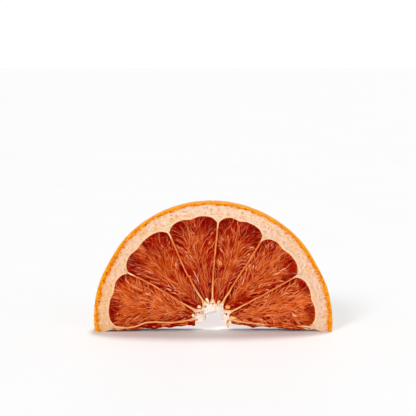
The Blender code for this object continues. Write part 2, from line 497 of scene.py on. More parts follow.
POCKETS = (
    Pocket(0, 6.5 * MM, 41.6 * MM, 39.4 * MM, 0.50),
    Pocket(1, 5.3 * MM, 40.0 * MM, 39.2 * MM, 0.56),
    Pocket(2, 5.3 * MM, 40.2 * MM, 40.8 * MM, 0.58),
    Pocket(3, 5.8 * MM, 40.8 * MM, 41.0 * MM, 0.51),
    Pocket(4, 5.9 * MM, 41.3 * MM, 41.8 * MM, 0.58),
    Pocket(5, 7.3 * MM, 41.5 * MM, 42.4 * MM, 0.40),
)


# ------------ node building


def linear(red: int, green: int, blue: int) -> Colour:
    """Turns a screen colour, 0 to 255 each, into the shader's linear one."""
    shares = (channel / 255.0 for channel in (red, green, blue))
    return tuple(s / 12.92 if s <= 0.04045 else ((s + 0.055) / 1.055) ** 2.4 for s in shares)


@dataclass
class Graph:
    """A node tree under construction, with short calls for the nodes that finishes need.

    Wherever a call takes a Fed, it takes a plain value or another node's output socket.
    """

    tree: bpy.types.NodeTree

    def node(self, kind: str, settings: dict[str, object] | None = None, **inputs: Fed) -> bpy.types.Node:
        """Adds a node.

        Args:
            kind: Its type, without the ShaderNode prefix.
            settings: Its own options.
            **inputs: What each input gets, with its spaces written as underscores.

        Returns:
            The node.
        """
        made = self.tree.nodes.new("ShaderNode" + kind)
        for key, value in (settings or {}).items():
            setattr(made, key, value)
        self.feed_all(made, **inputs)
        return made

    def feed(self, socket: Socket, value: Fed) -> None:
        """Links an output socket to an input one, or sets the input's value.

        Args:
            socket: The input.
            value: What it gets.
        """
        if isinstance(value, Socket):
            self.tree.links.new(value, socket)
        elif isinstance(value, tuple) and socket.type == "RGBA":
            socket.default_value = (*value, 1.0)
        else:
            socket.default_value = value

    def feed_all(self, node: bpy.types.Node, **inputs: Fed) -> None:
        """Feeds several inputs of a node, with their spaces written as underscores."""
        for key, value in inputs.items():
            self.feed(node.inputs[key.replace("_", " ")], value)

    def place(self) -> Socket:
        """Gives the coordinates on the piece itself."""
        return self.node("TexCoord").outputs["Object"]

    def split(self, vector: Socket) -> list[Socket]:
        """Splits a vector or a colour into three values."""
        return list(self.node("SeparateXYZ", Vector=vector).outputs)

    def attribute(self, name: str) -> tuple[Socket, list[Socket]]:
        """Reads a point attribute as a vector and as its three values."""
        vector = self.node("Attribute", {"attribute_name": name}).outputs["Vector"]
        return vector, self.split(vector)

    def mix(self, share: Fed, first: Fed, second: Fed) -> Socket:
        """Mixes two colours.

        Args:
            share: How much of the second one shows.
            first: The first colour.
            second: The second colour.

        Returns:
            The result's socket.
        """
        made = self.node("Mix", {"data_type": "RGBA"})
        for index, value in ((0, share), (6, first), (7, second)):
            self.feed(made.inputs[index], value)
        return made.outputs[2]

    def layers(self, base: Fed, *coats: tuple[Fed, Fed]) -> Fed:
        """Lays colours over a base one.

        Args:
            base: The colour below.
            *coats: A mask and a colour each, the lowest coat first.

        Returns:
            The resulting colour.
        """
        for mask, colour in coats:
            base = self.mix(mask, base, colour)
        return base

    def ramp(self, value: Fed, low: float, high: float, to_low: Fed = 0.0, to_high: Fed = 1.0) -> Socket:
        """Eases a value between two limits, of which the first may be the higher.

        Args:
            value: The value.
            low: The first limit.
            high: The second limit.
            to_low: Result at the first limit and beyond it.
            to_high: Result at the second limit and beyond it.

        Returns:
            The result's socket.
        """
        made = self.node(
            "MapRange", {"interpolation_type": "SMOOTHSTEP"}, Value=value, From_Min=low,
            From_Max=high, To_Min=to_low, To_Max=to_high,
        )
        return made.outputs["Result"]

    def math(self, operation: str, first: Fed, second: Fed) -> Socket:
        """Works something out from two values.

        Args:
            operation: The Math node's name for it.
            first: The first value.
            second: The second value.

        Returns:
            The result's socket.
        """
        made = self.node("Math", {"operation": operation})
        self.feed(made.inputs[0], first)
        self.feed(made.inputs[1], second)
        return made.outputs[0]

    def product(self, *masks: Fed) -> Fed:
        """Multiplies masks with each other."""
        return reduce(partial(self.math, "MULTIPLY"), masks)

    def noise(self, vector: Fed, scale: Fed, detail: Fed, roughness: Fed) -> Socket:
        """Adds noise and gives the socket of its value."""
        made = self.node("TexNoise", Vector=vector, Scale=scale, Detail=detail, Roughness=roughness)
        return made.outputs["Fac"]

    def cells(self, vector: Fed, scale: float, scatter: float, flat: bool = False) -> dict[str, Socket]:
        """Adds scattered cells.

        Args:
            vector: Coordinates.
            scale: Cells in one unit.
            scatter: How unevenly they lie, from 0 to 1.
            flat: Whether they lie in the plane of X and Y alone.

        Returns:
            The node's outputs by name, among them Distance and Color.
        """
        settings = {"voronoi_dimensions": "2D" if flat else "3D"}
        made = self.node("TexVoronoi", settings, Vector=vector, Scale=scale, Randomness=scatter)
        return {socket.name: socket for socket in made.outputs}

    def stretched(self, vector: Socket, scale: Colour) -> Socket:
        """Scales coordinates by a factor for each axis and gives the result's socket."""
        return self.node("Mapping", Vector=vector, Scale=scale).outputs["Vector"]

    def effect(
        self, tree: bpy.types.NodeTree, scale: float, detail: float, roughness: float, **inputs: Fed
    ) -> list[Socket]:
        """Places a shared effect with values of its own.

        Args:
            tree: The effect.
            scale: Waves in a metre.
            detail: How many sizes of wave it has.
            roughness: How strong the finer ones are.
            **inputs: What its other inputs get.

        Returns:
            The sockets of its outputs.
        """
        made = self.node(
            "Group", {"node_tree": tree}, Vector=self.place(), Scale=scale, Detail=detail,
            Roughness=roughness, **inputs,
        )
        return list(made.outputs)


def new_material(name: str) -> tuple[Material, Graph, bpy.types.Node]:
    """Starts a material with a Principled shader.

    Args:
        name: Name of the material.

    Returns:
        The material, its graph and its shader.
    """
    material = bpy.data.materials.new(name)
    material.use_nodes = True
    return material, Graph(material.node_tree), material.node_tree.nodes["Principled BSDF"]


def new_group(
    name: str, inputs: Sequence[str], outputs: dict[str, str]
) -> tuple[Graph, list[Socket], bpy.types.Node]:
    """Starts a shared effect on noise that is read at given coordinates.

    Args:
        name: Name of the effect.
        inputs: Names of the inputs besides those of the noise.
        outputs: Kind of each output socket by its name.

    Returns:
        The group's graph, the sockets of its inputs, and its output node.
    """
    tree = bpy.data.node_groups.new(name, "ShaderNodeTree")
    tree.interface.new_socket("Vector", in_out="INPUT", socket_type="NodeSocketVector")
    for key in ("Scale", "Detail", "Roughness", *inputs):
        tree.interface.new_socket(key, in_out="INPUT", socket_type="NodeSocketFloat")
    for key, kind in outputs.items():
        tree.interface.new_socket(key, in_out="OUTPUT", socket_type="NodeSocket" + kind)
    given = tree.nodes.new("NodeGroupInput")
    return Graph(tree), list(given.outputs), tree.nodes.new("NodeGroupOutput")


@cache
def mottle_group() -> bpy.types.NodeTree:
    """Builds the shared mottle, which tints a finish and makes its gloss uneven.

    Returns:
        Its node tree.
    """
    graph, given, result = new_group("mottle", ("Weak", "Strong"), {"Mottle": "Float", "Gloss": "Float"})
    vector, scale, detail, roughness, weak, strong, _ = given
    mottle = graph.noise(vector, scale, detail, roughness)
    graph.feed_all(result, Mottle=mottle, Gloss=graph.ramp(mottle, 0.3, 0.7, weak, strong))
    return graph.tree


@cache
def relief_group() -> bpy.types.NodeTree:
    """Builds the shared relief that is too fine for a mesh.

    Returns:
        Its node tree.
    """
    graph, given, result = new_group("fine_relief", ("Strength", "Height"), {"Normal": "Vector"})
    vector, scale, detail, roughness, strength, height, _ = given
    waves = graph.noise(vector, scale, detail, roughness)
    bump = graph.node("Bump", Strength=strength, Distance=height, Height=waves)
    graph.feed_all(result, Normal=bump.outputs["Normal"])
    return graph.tree


# ------------ finishes


@dataclass(frozen=True)
class RindFinish:
    """Orange zest with oil glands outside, cream pith inside.

    Lengths along the rind, depths and widths reach it in millimetres.
    """

    rim: Colour = linear(246, 168, 30)
    zest: Colour = linear(236, 144, 8)
    deep_zest: Colour = linear(222, 112, 2)
    skin: Colour = linear(242, 160, 30)
    skin_brown: Colour = linear(224, 116, 6)
    gland: Colour = linear(172, 60, 0)
    amber: Colour = linear(232, 158, 84)
    pith: Colour = linear(232, 190, 162)
    pith_white: Colour = linear(250, 222, 200)
    pith_shade: Colour = linear(216, 160, 124)
    pith_yellow: Colour = linear(230, 176, 114)
    speck: Colour = linear(224, 150, 74)
    pith_light: Colour = linear(238, 204, 176)
    pith_cream: Colour = linear(252, 216, 166)
    zest_gloss: Colour = (0.36, 0.36, 0.36)
    pith_gloss: Colour = (0.66, 0.66, 0.66)
    cover: float = 0.85

    def border(self, graph: Graph, rind: Socket, level: Socket) -> Socket:
        """Makes the zest's border with the pith uneven.

        Args:
            graph: The finish's graph.
            rind: Length along the rind, depth under its skin and place through the slice.
            level: Depth as a share of the zest.

        Returns:
            The uneven depth.
        """
        wave = graph.noise(graph.stretched(rind, (1.1, 0.9, 1.1)), 1.0, 4.0, 0.6)
        reach = graph.noise(graph.stretched(rind, (0.2, 0.05, 0.2)), 1.0, 2.0, 0.5)
        border = graph.math("ADD", level, graph.ramp(wave, 0.3, 0.7, 0.26, -0.26))
        return graph.math("ADD", border, graph.ramp(reach, 0.35, 0.65, 0.14, -0.14))

    def cut_zest(self, graph: Graph, rind: Socket, border: Socket) -> Fed:
        """Colours the cut zest.

        Args:
            graph: The finish's graph.
            rind: Length along the rind, depth under its skin and place through the slice.
            border: Uneven depth as a share of the zest.

        Returns:
            The colour, from the rim to the pith.
        """
        cloudy = graph.noise(rind, 0.75, 3.0, 0.6)
        shade = graph.product(graph.ramp(cloudy, 0.38, 0.56), graph.ramp(border, 0.2, 0.4))
        return graph.layers(
            self.rim,
            (graph.ramp(border, 0.1, 0.35), self.zest),
            (shade, self.deep_zest),
            (graph.ramp(border, 0.55, 0.8), self.amber),
        )

    def glands(self, graph: Graph, rind: Socket, level: Socket) -> tuple[Fed, Fed]:
        """Scatters oil glands in the cut zest.

        Args:
            graph: The finish's graph.
            rind: Length along the rind, depth under its skin and place through the slice.
            level: Depth as a share of the zest.

        Returns:
            Masks of the brown glands, and of the drops of deep zest beside the pith.
        """
        ovals = graph.cells(graph.stretched(rind, (1.0, 0.8, 1.0)), 0.8, 0.8)
        kind = graph.split(ovals["Color"])[0]
        band = graph.product(graph.ramp(level, 0.25, 0.4), graph.ramp(level, 0.85, 0.65))
        belt = graph.product(graph.ramp(level, 0.45, 0.6), graph.ramp(level, 1.2, 1.0))
        ticks = graph.product(graph.ramp(ovals["Distance"], 0.38, 0.2), band, graph.ramp(kind, 0.5, 0.7))
        drops = graph.product(graph.ramp(ovals["Distance"], 0.5, 0.25), belt, graph.ramp(kind, 0.75, 0.55))
        return ticks, drops

    def outer_skin(self, graph: Graph, length: Socket, through: Socket) -> Fed:
        """Colours the outer skin.

        Args:
            graph: The finish's graph.
            length: Length along the rind.
            through: Place through the slice.

        Returns:
            The colour, browner in its mottle and its pores.
        """
        mottle = graph.noise(graph.place(), 1100.0, 4.0, 0.65)
        across = graph.node("CombineXYZ", X=length, Y=through).outputs[0]
        pores = graph.cells(across, 1.1, 1.0, flat=True)
        return graph.layers(
            self.skin,
            (graph.ramp(mottle, 0.45, 0.75, 0.0, 0.8), self.skin_brown),
            (graph.ramp(pores["Distance"], 0.3, 0.06, 0.0, 0.6), self.skin_brown),
        )

    def cut_pith(self, graph: Graph, rind: Socket, length: Socket, from_flesh: Socket) -> Fed:
        """Colours the cut pith.

        Args:
            graph: The finish's graph.
            rind: Length along the rind, depth under its skin and place through the slice.
            length: The length alone.
            from_flesh: Distance from the flesh.

        Returns:
            The colour: lighter round the crown, yellower at the left foot, cream at the
            flesh, with broad tinges, fibres, fine grain and a few tan specks.
        """
        place = graph.place()
        cloud = graph.noise(place, 750.0, 3.0, 0.6)
        tinge = graph.noise(place, 300.0, 2.0, 0.6)
        fine = graph.noise(place, 2000.0, 2.0, 0.6)
        fibre = graph.noise(graph.stretched(rind, (0.35, 1.6, 0.8)), 1.0, 4.0, 0.7)
        crown = graph.product(graph.ramp(length, 38.0, 56.0), graph.ramp(length, 118.0, 98.0))
        dots = graph.cells(rind, 0.4, 1.0)
        chance = graph.ramp(graph.split(dots["Color"])[0], 0.5, 0.6)
        return graph.layers(
            self.pith,
            (graph.ramp(length, 126.0, 146.0, 0.0, 0.8), self.pith_yellow),
            (crown, self.pith_light),
            (graph.ramp(cloud, 0.48, 0.66), self.pith_shade),
            (graph.ramp(tinge, 0.5, 0.62, 0.0, 0.8), self.pith_yellow),
            (graph.ramp(fibre, 0.5, 0.66, 0.0, 0.8), self.pith_white),
            (graph.ramp(fine, 0.52, 0.66, 0.0, 0.45), self.pith_white),
            (graph.ramp(fine, 0.46, 0.34, 0.0, 0.45), self.pith_shade),
            (graph.ramp(from_flesh, 0.8, 0.1, 0.0, 0.7), self.pith_cream),
            (graph.product(graph.ramp(dots["Distance"], 0.26, 0.13), chance, self.cover), self.speck),
        )

    def material(self) -> Material:
        """Builds the finish.

        Returns:
            The material, which reads the attributes "rind", with the length along the rind,
            the depth under the skin and the place through the slice, and "pith", with the
            distance from the flesh and the zest's own thickness.
        """
        material, graph, shader = new_material("rind")
        rind, (length, depth, through) = graph.attribute("rind")
        _, (from_flesh, thickness, _) = graph.attribute("pith")
        level = graph.math("DIVIDE", depth, thickness)
        border = self.border(graph, rind, level)
        ticks, drops = self.glands(graph, rind, level)
        inside = graph.ramp(border, 0.6, 1.1)
        colour = graph.layers(
            self.cut_zest(graph, rind, border),
            (graph.ramp(depth, 0.35, 0.02), self.outer_skin(graph, length, through)),
            (inside, self.cut_pith(graph, rind, length, from_flesh)),
            (graph.product(drops, self.cover), self.deep_zest),
            (ticks, self.gland),
        )
        (normal,) = graph.effect(relief_group(), 1100.0, 4.0, 0.7, Strength=0.5, Height=0.15 * MM)
        graph.feed_all(
            shader, Base_Color=colour, Roughness=graph.mix(inside, self.zest_gloss, self.pith_gloss),
            Normal=normal, Specular_IOR_Level=0.04,
            Specular_Tint=(1.0, 0.6, 0.25), Subsurface_Weight=0.1,
            Subsurface_Radius=(1.0, 0.55, 0.3), Subsurface_Scale=0.3 * MM,
        )
        return material


@dataclass(frozen=True)
class FleshFinish:
    """Moist dried flesh: brown-orange sacs, salmon sac walls and painted glints, deep red as painted shade
    in its hollows and creases, and darker towards its walls and lobes.
    """

    # Deep red: partly the flesh's own darker tone, partly painted shade in its hollows and creases.
    deep: Colour = linear(116, 0, 0)
    red: Colour = linear(152, 13, 0)
    amber: Colour = linear(184, 70, 16)
    glow: Colour = linear(212, 94, 34)
    thread: Colour = linear(240, 138, 84)
    wall: Colour = linear(238, 124, 66)
    glint: Colour = linear(252, 180, 134)

    def material(self) -> Material:
        """Builds the finish.

        Returns:
            The material, which reads the attributes "sacs", with the sac walls' strength,
            the warmth of the sac and its darkness, partly painted shade, and "strands", with the
            strength of the light threads, of the painted glints and of the dark creases, painted as shade.
        """
        material, graph, shader = new_material("flesh")
        _, (wall, warmth, shade) = graph.attribute("sacs")
        _, (thread, painted_glint, crease) = graph.attribute("strands")
        cloud, gloss = graph.effect(mottle_group(), 420.0, 3.0, 0.6, Weak=0.22, Strong=0.4)
        warm = graph.math("ADD", warmth, graph.ramp(cloud, 0.3, 0.7, -0.3, 0.3))
        flesh = graph.layers(
            self.red,
            (graph.ramp(warm, 0.0, 0.9), self.amber),
            (graph.ramp(warm, 1.1, 1.9), self.glow),
            # Darkness, partly painted shade, then the creases' painted shade, each through red to deep red.
            (graph.ramp(shade, 0.0, 0.6), self.red),
            (graph.ramp(shade, 0.15, 0.85), self.deep),
            (graph.ramp(crease, 0.0, 0.8), self.red),
            (graph.ramp(crease, 0.25, 1.1), self.deep),
            (wall, self.wall),
            (thread, self.thread),
            # Painted glints, the flesh's highlights.
            (painted_glint, self.glint),
        )
        (normal,) = graph.effect(relief_group(), 2200.0, 3.0, 0.6, Strength=0.3, Height=0.1 * MM)
        graph.feed_all(
            shader, Base_Color=flesh, Roughness=gloss,
            Normal=normal,
            Specular_IOR_Level=0.04, Specular_Tint=(1.0, 0.35, 0.12),
        )
        return material


@dataclass(frozen=True)
class MembraneFinish:
    """Thin segment skins: orange and translucent midway, cream at the pith, golden at the core."""

    cream: Colour = linear(250, 212, 162)
    golden: Colour = linear(250, 192, 122)
    orange: Colour = linear(240, 150, 86)
    amber: Colour = linear(226, 112, 48)
    flank: Colour = linear(222, 96, 34)
    torn: Colour = linear(190, 54, 16)
    wet: Colour = linear(168, 32, 2)

    def material(self) -> Material:
        """Builds the finish.

        Returns:
            The material, which reads the attribute "skin": nearness of the pith, above 0, or
            of the core, below 0, depth under the face in millimetres on the side of the
            flesh, and a tint that changes along it.
        """
        material, graph, shader = new_material("membrane")
        _, (end, depth, tint) = graph.attribute("skin")
        mottle, gloss = graph.effect(mottle_group(), 420.0, 3.0, 0.6, Weak=0.3, Strong=0.5)
        near_end = graph.math("ADD", end, graph.ramp(mottle, 0.3, 0.7, -0.12, 0.12))
        sheer = graph.ramp(end, -0.9, -0.4, 0.14, 0.0)
        colour = graph.layers(
            self.amber,
            (graph.ramp(tint, -0.5, 0.5), self.orange),
            (graph.ramp(tint, 0.3, 1.0, 0.0, 0.85), self.golden),
            (graph.ramp(near_end, 0.1, 0.9), self.cream),
            (graph.ramp(near_end, -0.1, -0.9), self.golden),
            (graph.ramp(tint, -0.8, -1.4), self.torn),
            (graph.ramp(graph.math("SUBTRACT", depth, sheer), 0.04, 0.2), self.flank),
            (graph.ramp(depth, 0.25, 0.7), self.wet),
        )
        (normal,) = graph.effect(relief_group(), 1800.0, 3.0, 0.6, Strength=0.3, Height=0.1 * MM)
        graph.feed_all(
            shader, Base_Color=colour, Roughness=gloss,
            Normal=normal, Specular_IOR_Level=0.0,
        )
        return material


@dataclass(frozen=True)
class CoreFinish:
    """White spongy pith at the fruit's axis with tan stains, painted brown as shade in its hollows and
    pinkish tan as shade in its recesses.
    """

    white: Colour = linear(255, 246, 236)
    pink: Colour = linear(242, 212, 192)
    # Pinkish tan painted as shade in the recesses.
    shaded_recess: Colour = linear(224, 172, 142)
    # Brown painted as shade in the hollows between the segments' tips.
    hollow: Colour = linear(184, 92, 52)
    golden: Colour = linear(224, 156, 66)

    def material(self) -> Material:
        """Builds the finish.

        Returns:
            The material, which reads the attributes "sponge", with the depth of the pores,
            of the hollows between the segments' tips and of the sunken ground, the last two painted
            as shade, and "stain", with the strength of the golden stain.
        """
        material, graph, shader = new_material("core")
        _, (pore, shaded_pit, ground) = graph.attribute("sponge")
        _, (stain, _, _) = graph.attribute("stain")
        cloud, gloss = graph.effect(mottle_group(), 1100.0, 4.0, 0.65, Weak=0.6, Strong=0.8)
        colour = graph.layers(
            self.white,
            (graph.ramp(cloud, 0.44, 0.64), self.pink),
            (graph.ramp(pore, 0.35, 1.0, 0.0, 0.8), self.pink),
            # Painted shade: the sunken ground, then the hollows.
            (graph.ramp(ground, 0.2, 0.9), self.shaded_recess),
            (graph.ramp(stain, 0.15, 0.85), self.golden),
            (graph.ramp(shaded_pit, 0.15, 0.85), self.hollow),
        )
        (normal,) = graph.effect(relief_group(), 1700.0, 4.0, 0.7, Strength=0.7, Height=0.2 * MM)
        graph.feed_all(
            shader, Base_Color=colour, Roughness=gloss,
            Normal=normal, Specular_IOR_Level=0.15,
            Subsurface_Weight=0.3, Subsurface_Radius=(1.0, 0.6, 0.4), Subsurface_Scale=0.6 * MM,
        )
        return material


@dataclass(frozen=True)
class SeedFinish:
    """Small empty seeds, cream with a tan point, some of them amber and translucent."""

    cream: Colour = linear(255, 240, 204)
    golden: Colour = linear(255, 206, 116)
    amber: Colour = linear(240, 160, 88)
    edge: Colour = linear(255, 214, 150)
    tan: Colour = linear(226, 158, 84)

    def material(self) -> Material:
        """Builds the finish.

        Returns:
            The material, which reads the attribute "seed": place along the seed, tint from
            cream over golden to amber, and a fine grain.
        """
        material, graph, shader = new_material("seed")
        _, (along, tint, grain) = graph.attribute("seed")
        mottle, gloss = graph.effect(mottle_group(), 1300.0, 3.0, 0.6, Weak=0.3, Strong=0.5)
        sheer = graph.mix(graph.ramp(grain, 0.0, -0.3), self.amber, self.edge)
        point = graph.math("ADD", along, graph.ramp(mottle, 0.3, 0.7, -0.2, 0.2))
        colour = graph.layers(
            self.cream,
            (graph.ramp(tint, 0.0, 0.5), self.golden),
            (graph.ramp(tint, 0.5, 1.0), sheer),
            (graph.ramp(point, 0.75, 1.15), self.tan),
            (graph.ramp(grain, 0.2, 0.8, 0.0, 0.5), self.tan),
        )
        graph.feed_all(
            shader, Base_Color=colour, Roughness=gloss, Specular_IOR_Level=0.3,
            Subsurface_Weight=0.3, Subsurface_Radius=(1.0, 0.6, 0.3), Subsurface_Scale=0.5 * MM,
        )
        return material


# ------------ the pieces


@dataclass
class Rind:
    """The band of zest and pith, from foot to foot."""

    finish: RindFinish = field(default_factory=RindFinish)
    rounding: float = 1.1 * MM
    foot_rounding: float = 0.8 * MM
    start: float = -7.3
    sweep: float = 194.6
    end_inner: float = 39.4 * MM
    wedge_inner: float = 36.4 * MM
    lining_overlap: float = 0.12 * MM
    crowding: float = 1.35
    edge_power: int = 24
    pith_sink: float = 0.2 * MM
    pith_lip: float = 0.1 * MM
    pith_grain: float = 0.06 * MM
    torn_height: float = 0.12 * MM
    zest_course: tuple[tuple[float, float], ...] = (
        (-8.0, 2.4), (20.0, 2.35), (42.0, 1.85), (75.0, 1.45), (105.0, 1.45), (137.0, 1.9),
        (162.0, 2.9), (188.0, 3.0),
    )
    pit_size: float = 1.15 * MM
    pit_depth: float = 0.08 * MM
    along: int = 640
    across: int = 34
    deep: int = 36
    grain: Grain = Grain(11)

    @cached_property
    def inner_edge(self) -> tuple[Array, Array]:
        """Angles, and the radii of the pith's inner edge, which follows the segments' skins."""
        step = 0.1
        angles = np.arange(-14.0, 194.0, step)
        radii = np.full(len(angles), self.wedge_inner)
        for pocket in POCKETS:
            x, z = pocket.rounded(0.0, 12000).T
            angle = np.degrees(np.arctan2(z, x))
            angle = np.where(angle < -90.0, angle + 360.0, angle)
            np.maximum.at(radii, np.round((angle - angles[0]) / step).astype(int), np.hypot(x, z))
        low, high = (float(wall.angle(np.array(38.0 * MM))) for wall in (PLAN.walls[0], PLAN.walls[-1]))
        beyond = smooth_step(0.1, 1.6, np.maximum(low - angles, angles - high))
        ends = self.wedge_inner + (self.end_inner - self.wedge_inner) * beyond
        radii = np.where((angles < low) | (angles > high), ends, radii)
        return angles, radii - self.lining_overlap

    def section(self, across: Array, through: Array) -> tuple[Array, Array, Array]:
        """Rounds the two corners of the rim in the band's section.

        Args:
            across: Shares from the band's inside to its skin.
            through: Shares through the slice.

        Returns:
            Places along Y, how far the corners drop inwards, and how far the skin is turned
            from a face, 0, to the rim, a quarter turn.
        """
        half = PLAN.thickness / 2
        quarter = 0.5 * math.pi * self.rounding
        total = 2.0 * quarter + 2.0 * (half - self.rounding)
        near = total * np.minimum(through, 1.0 - through)
        bend = np.clip(near / quarter, 0.0, 1.0) * 0.5 * math.pi
        rim_depth = half - self.rounding * (1.0 - np.cos(bend)) - np.maximum(0.0, near - quarter)
        rim_depth = np.where(through < 0.5, -rim_depth, rim_depth)
        flat_depth = half * (2.0 * through - 1.0)
        return flat_depth + (rim_depth - flat_depth) * across, self.rounding * (1.0 - np.sin(bend)), bend

    def course(self, along: Array, across: Array, rim_drop: Array) -> tuple[Array, Array, Array, Array]:
        """Leads the section round the fruit, with rounded feet.

        Args:
            along: Shares from foot to foot.
            across: Shares from the band's inside to its skin.
            rim_drop: How far the rim's corners drop inwards.

        Returns:
            Radii, angles in degrees, and the radii of the rim and of the band's inside there.
        """
        rough_angle = self.start + self.sweep * along
        rim = PLAN.rim(rough_angle)
        inner = np.interp(rough_angle, *self.inner_edge)
        to_end = np.radians(self.sweep) * PLAN.rind_radius * np.minimum(along, 1.0 - along)
        lift = np.clip(1.0 - to_end / self.foot_rounding, 0.0, 1.0)
        foot_drop = self.foot_rounding * (1.0 - np.sqrt(1.0 - lift**2))
        radius = inner + (rim - rim_drop - foot_drop - inner) * across
        below_axis = PLAN.axis_height - PLAN.cut_height(0.992 * radius)
        end = np.degrees(np.arcsin(below_axis / radius))
        return radius, -end + (180.0 + 2.0 * end) * along, rim - foot_drop, inner

    def face_sink(self, length: Array, under: Array, from_flesh: Array, depth: Array) -> Array:
        """Gives how far a cut face sinks, most in its spongy pith.

        Args:
            length: Places along the rind.
            under: Depths under the skin.
            from_flesh: Distances from the flesh.
            depth: Places along Y.

        Returns:
            The distances.
        """
        apart = under + 0.05 * np.sign(depth)
        flat, streak = (np.column_stack((share * length, apart)) for share in (1.0, 0.3))
        hollow = smooth_step(1.2 * MM, 2.4 * MM, under) * smooth_step(0.3 * MM, 1.6 * MM, from_flesh)
        sink = self.pith_sink * hollow + 0.05 * MM * (1.0 + self.grain.rough(flat, 2.4 * MM))
        for places, size in ((flat, 0.7 * MM), (streak, 0.8 * MM)):
            sink = sink + self.pith_grain * (1.0 + self.grain.rough(places, size, 2)) * hollow
        return sink + self.pith_lip * (1.0 - smooth_step(0.0, 0.4 * MM, from_flesh))

    def place(self, unit: Array) -> Placed:
        """Draws the unit block out to the rind.

        Args:
            unit: Shares along the rind, from its inside to its skin, and through the slice.

        Returns:
            The points and their values.
        """
        along, across, through = unit.T
        across = 1.0 - (1.0 - across) ** self.crowding
        depth, rim_drop, bend = self.section(across, through)
        radius, angle, rim, inner = self.course(along, across, rim_drop)

        length = np.radians(angle) * PLAN.rind_radius
        skin_plane = np.column_stack((length, depth + 3.0 * rim_drop * np.sign(depth)))
        pits = self.grain.cells(skin_plane, self.pit_size)
        swell = 0.10 * MM * self.grain.rough(np.column_stack((length, depth)), 5.0 * MM)
        relief = self.pit_depth * smooth_step(0.55, 0.1, pits) + np.abs(swell)
        radius = radius - across**self.edge_power * np.sin(bend) * relief

        under = rim - radius
        from_flesh = radius - inner
        on_face = (through <= 0.0) | (through >= 1.0)
        faceward = np.where(on_face, 1.0, across**self.edge_power * np.cos(bend))
        depth = depth - np.sign(depth) * faceward * self.face_sink(length, under, from_flesh, depth)
        points = PLAN.point(radius, angle, depth)
        cut = (along <= 0.0) | (along >= 1.0)
        torn = self.torn_height * (1.0 + self.grain.rough(points, 1.2 * MM))
        points[:, 2] += np.where(cut & (np.abs(points[:, 0]) < PLAN.foot_inner), torn, 0.0)
        points[:, 2] = np.maximum(points[:, 2], 0.0)
        zest = np.interp(angle, *np.array(self.zest_course).T)
        values = {"rind": rows(length / MM, under / MM, depth / MM), "pith": rows(from_flesh / MM, zest)}
        return points, values

    def build(self) -> None:
        """Builds the rind."""
        shape = unit_block(self.along, self.across, self.deep)
        finished_piece("rind", shape, self.place, self.finish.material())


class Spots(NamedTuple):
    """Places in a pocket: shares from its low wall, 0, to its high one, 1, and radii."""

    across: Array
    radius: Array


@dataclass(frozen=True)
class Stroke:
    """What one kind of stroke in the flesh is like, and how many of them a face has."""

    seed: int
    count: int
    length: float
    width: float
    slant: float
    lean: float = 0.0


THREAD = Stroke(11, 66, 6.0 * MM, 0.11 * MM, 0.26)
SHORT_THREAD = Stroke(12, 110, 2.8 * MM, 0.11 * MM, 0.5, 0.2)
# Dark strokes in the creases between the sacs, painted as shade.
CREASE = Stroke(13, 200, 3.6 * MM, 0.21 * MM, 0.2)
# Pale strokes painted as glints: highlights on the flesh.
GLINT = Stroke(14, 64, 2.4 * MM, 0.11 * MM, 0.25, 0.15)
VEIN = Stroke(15, 20, 7.5 * MM, 0.15 * MM, 0.85)


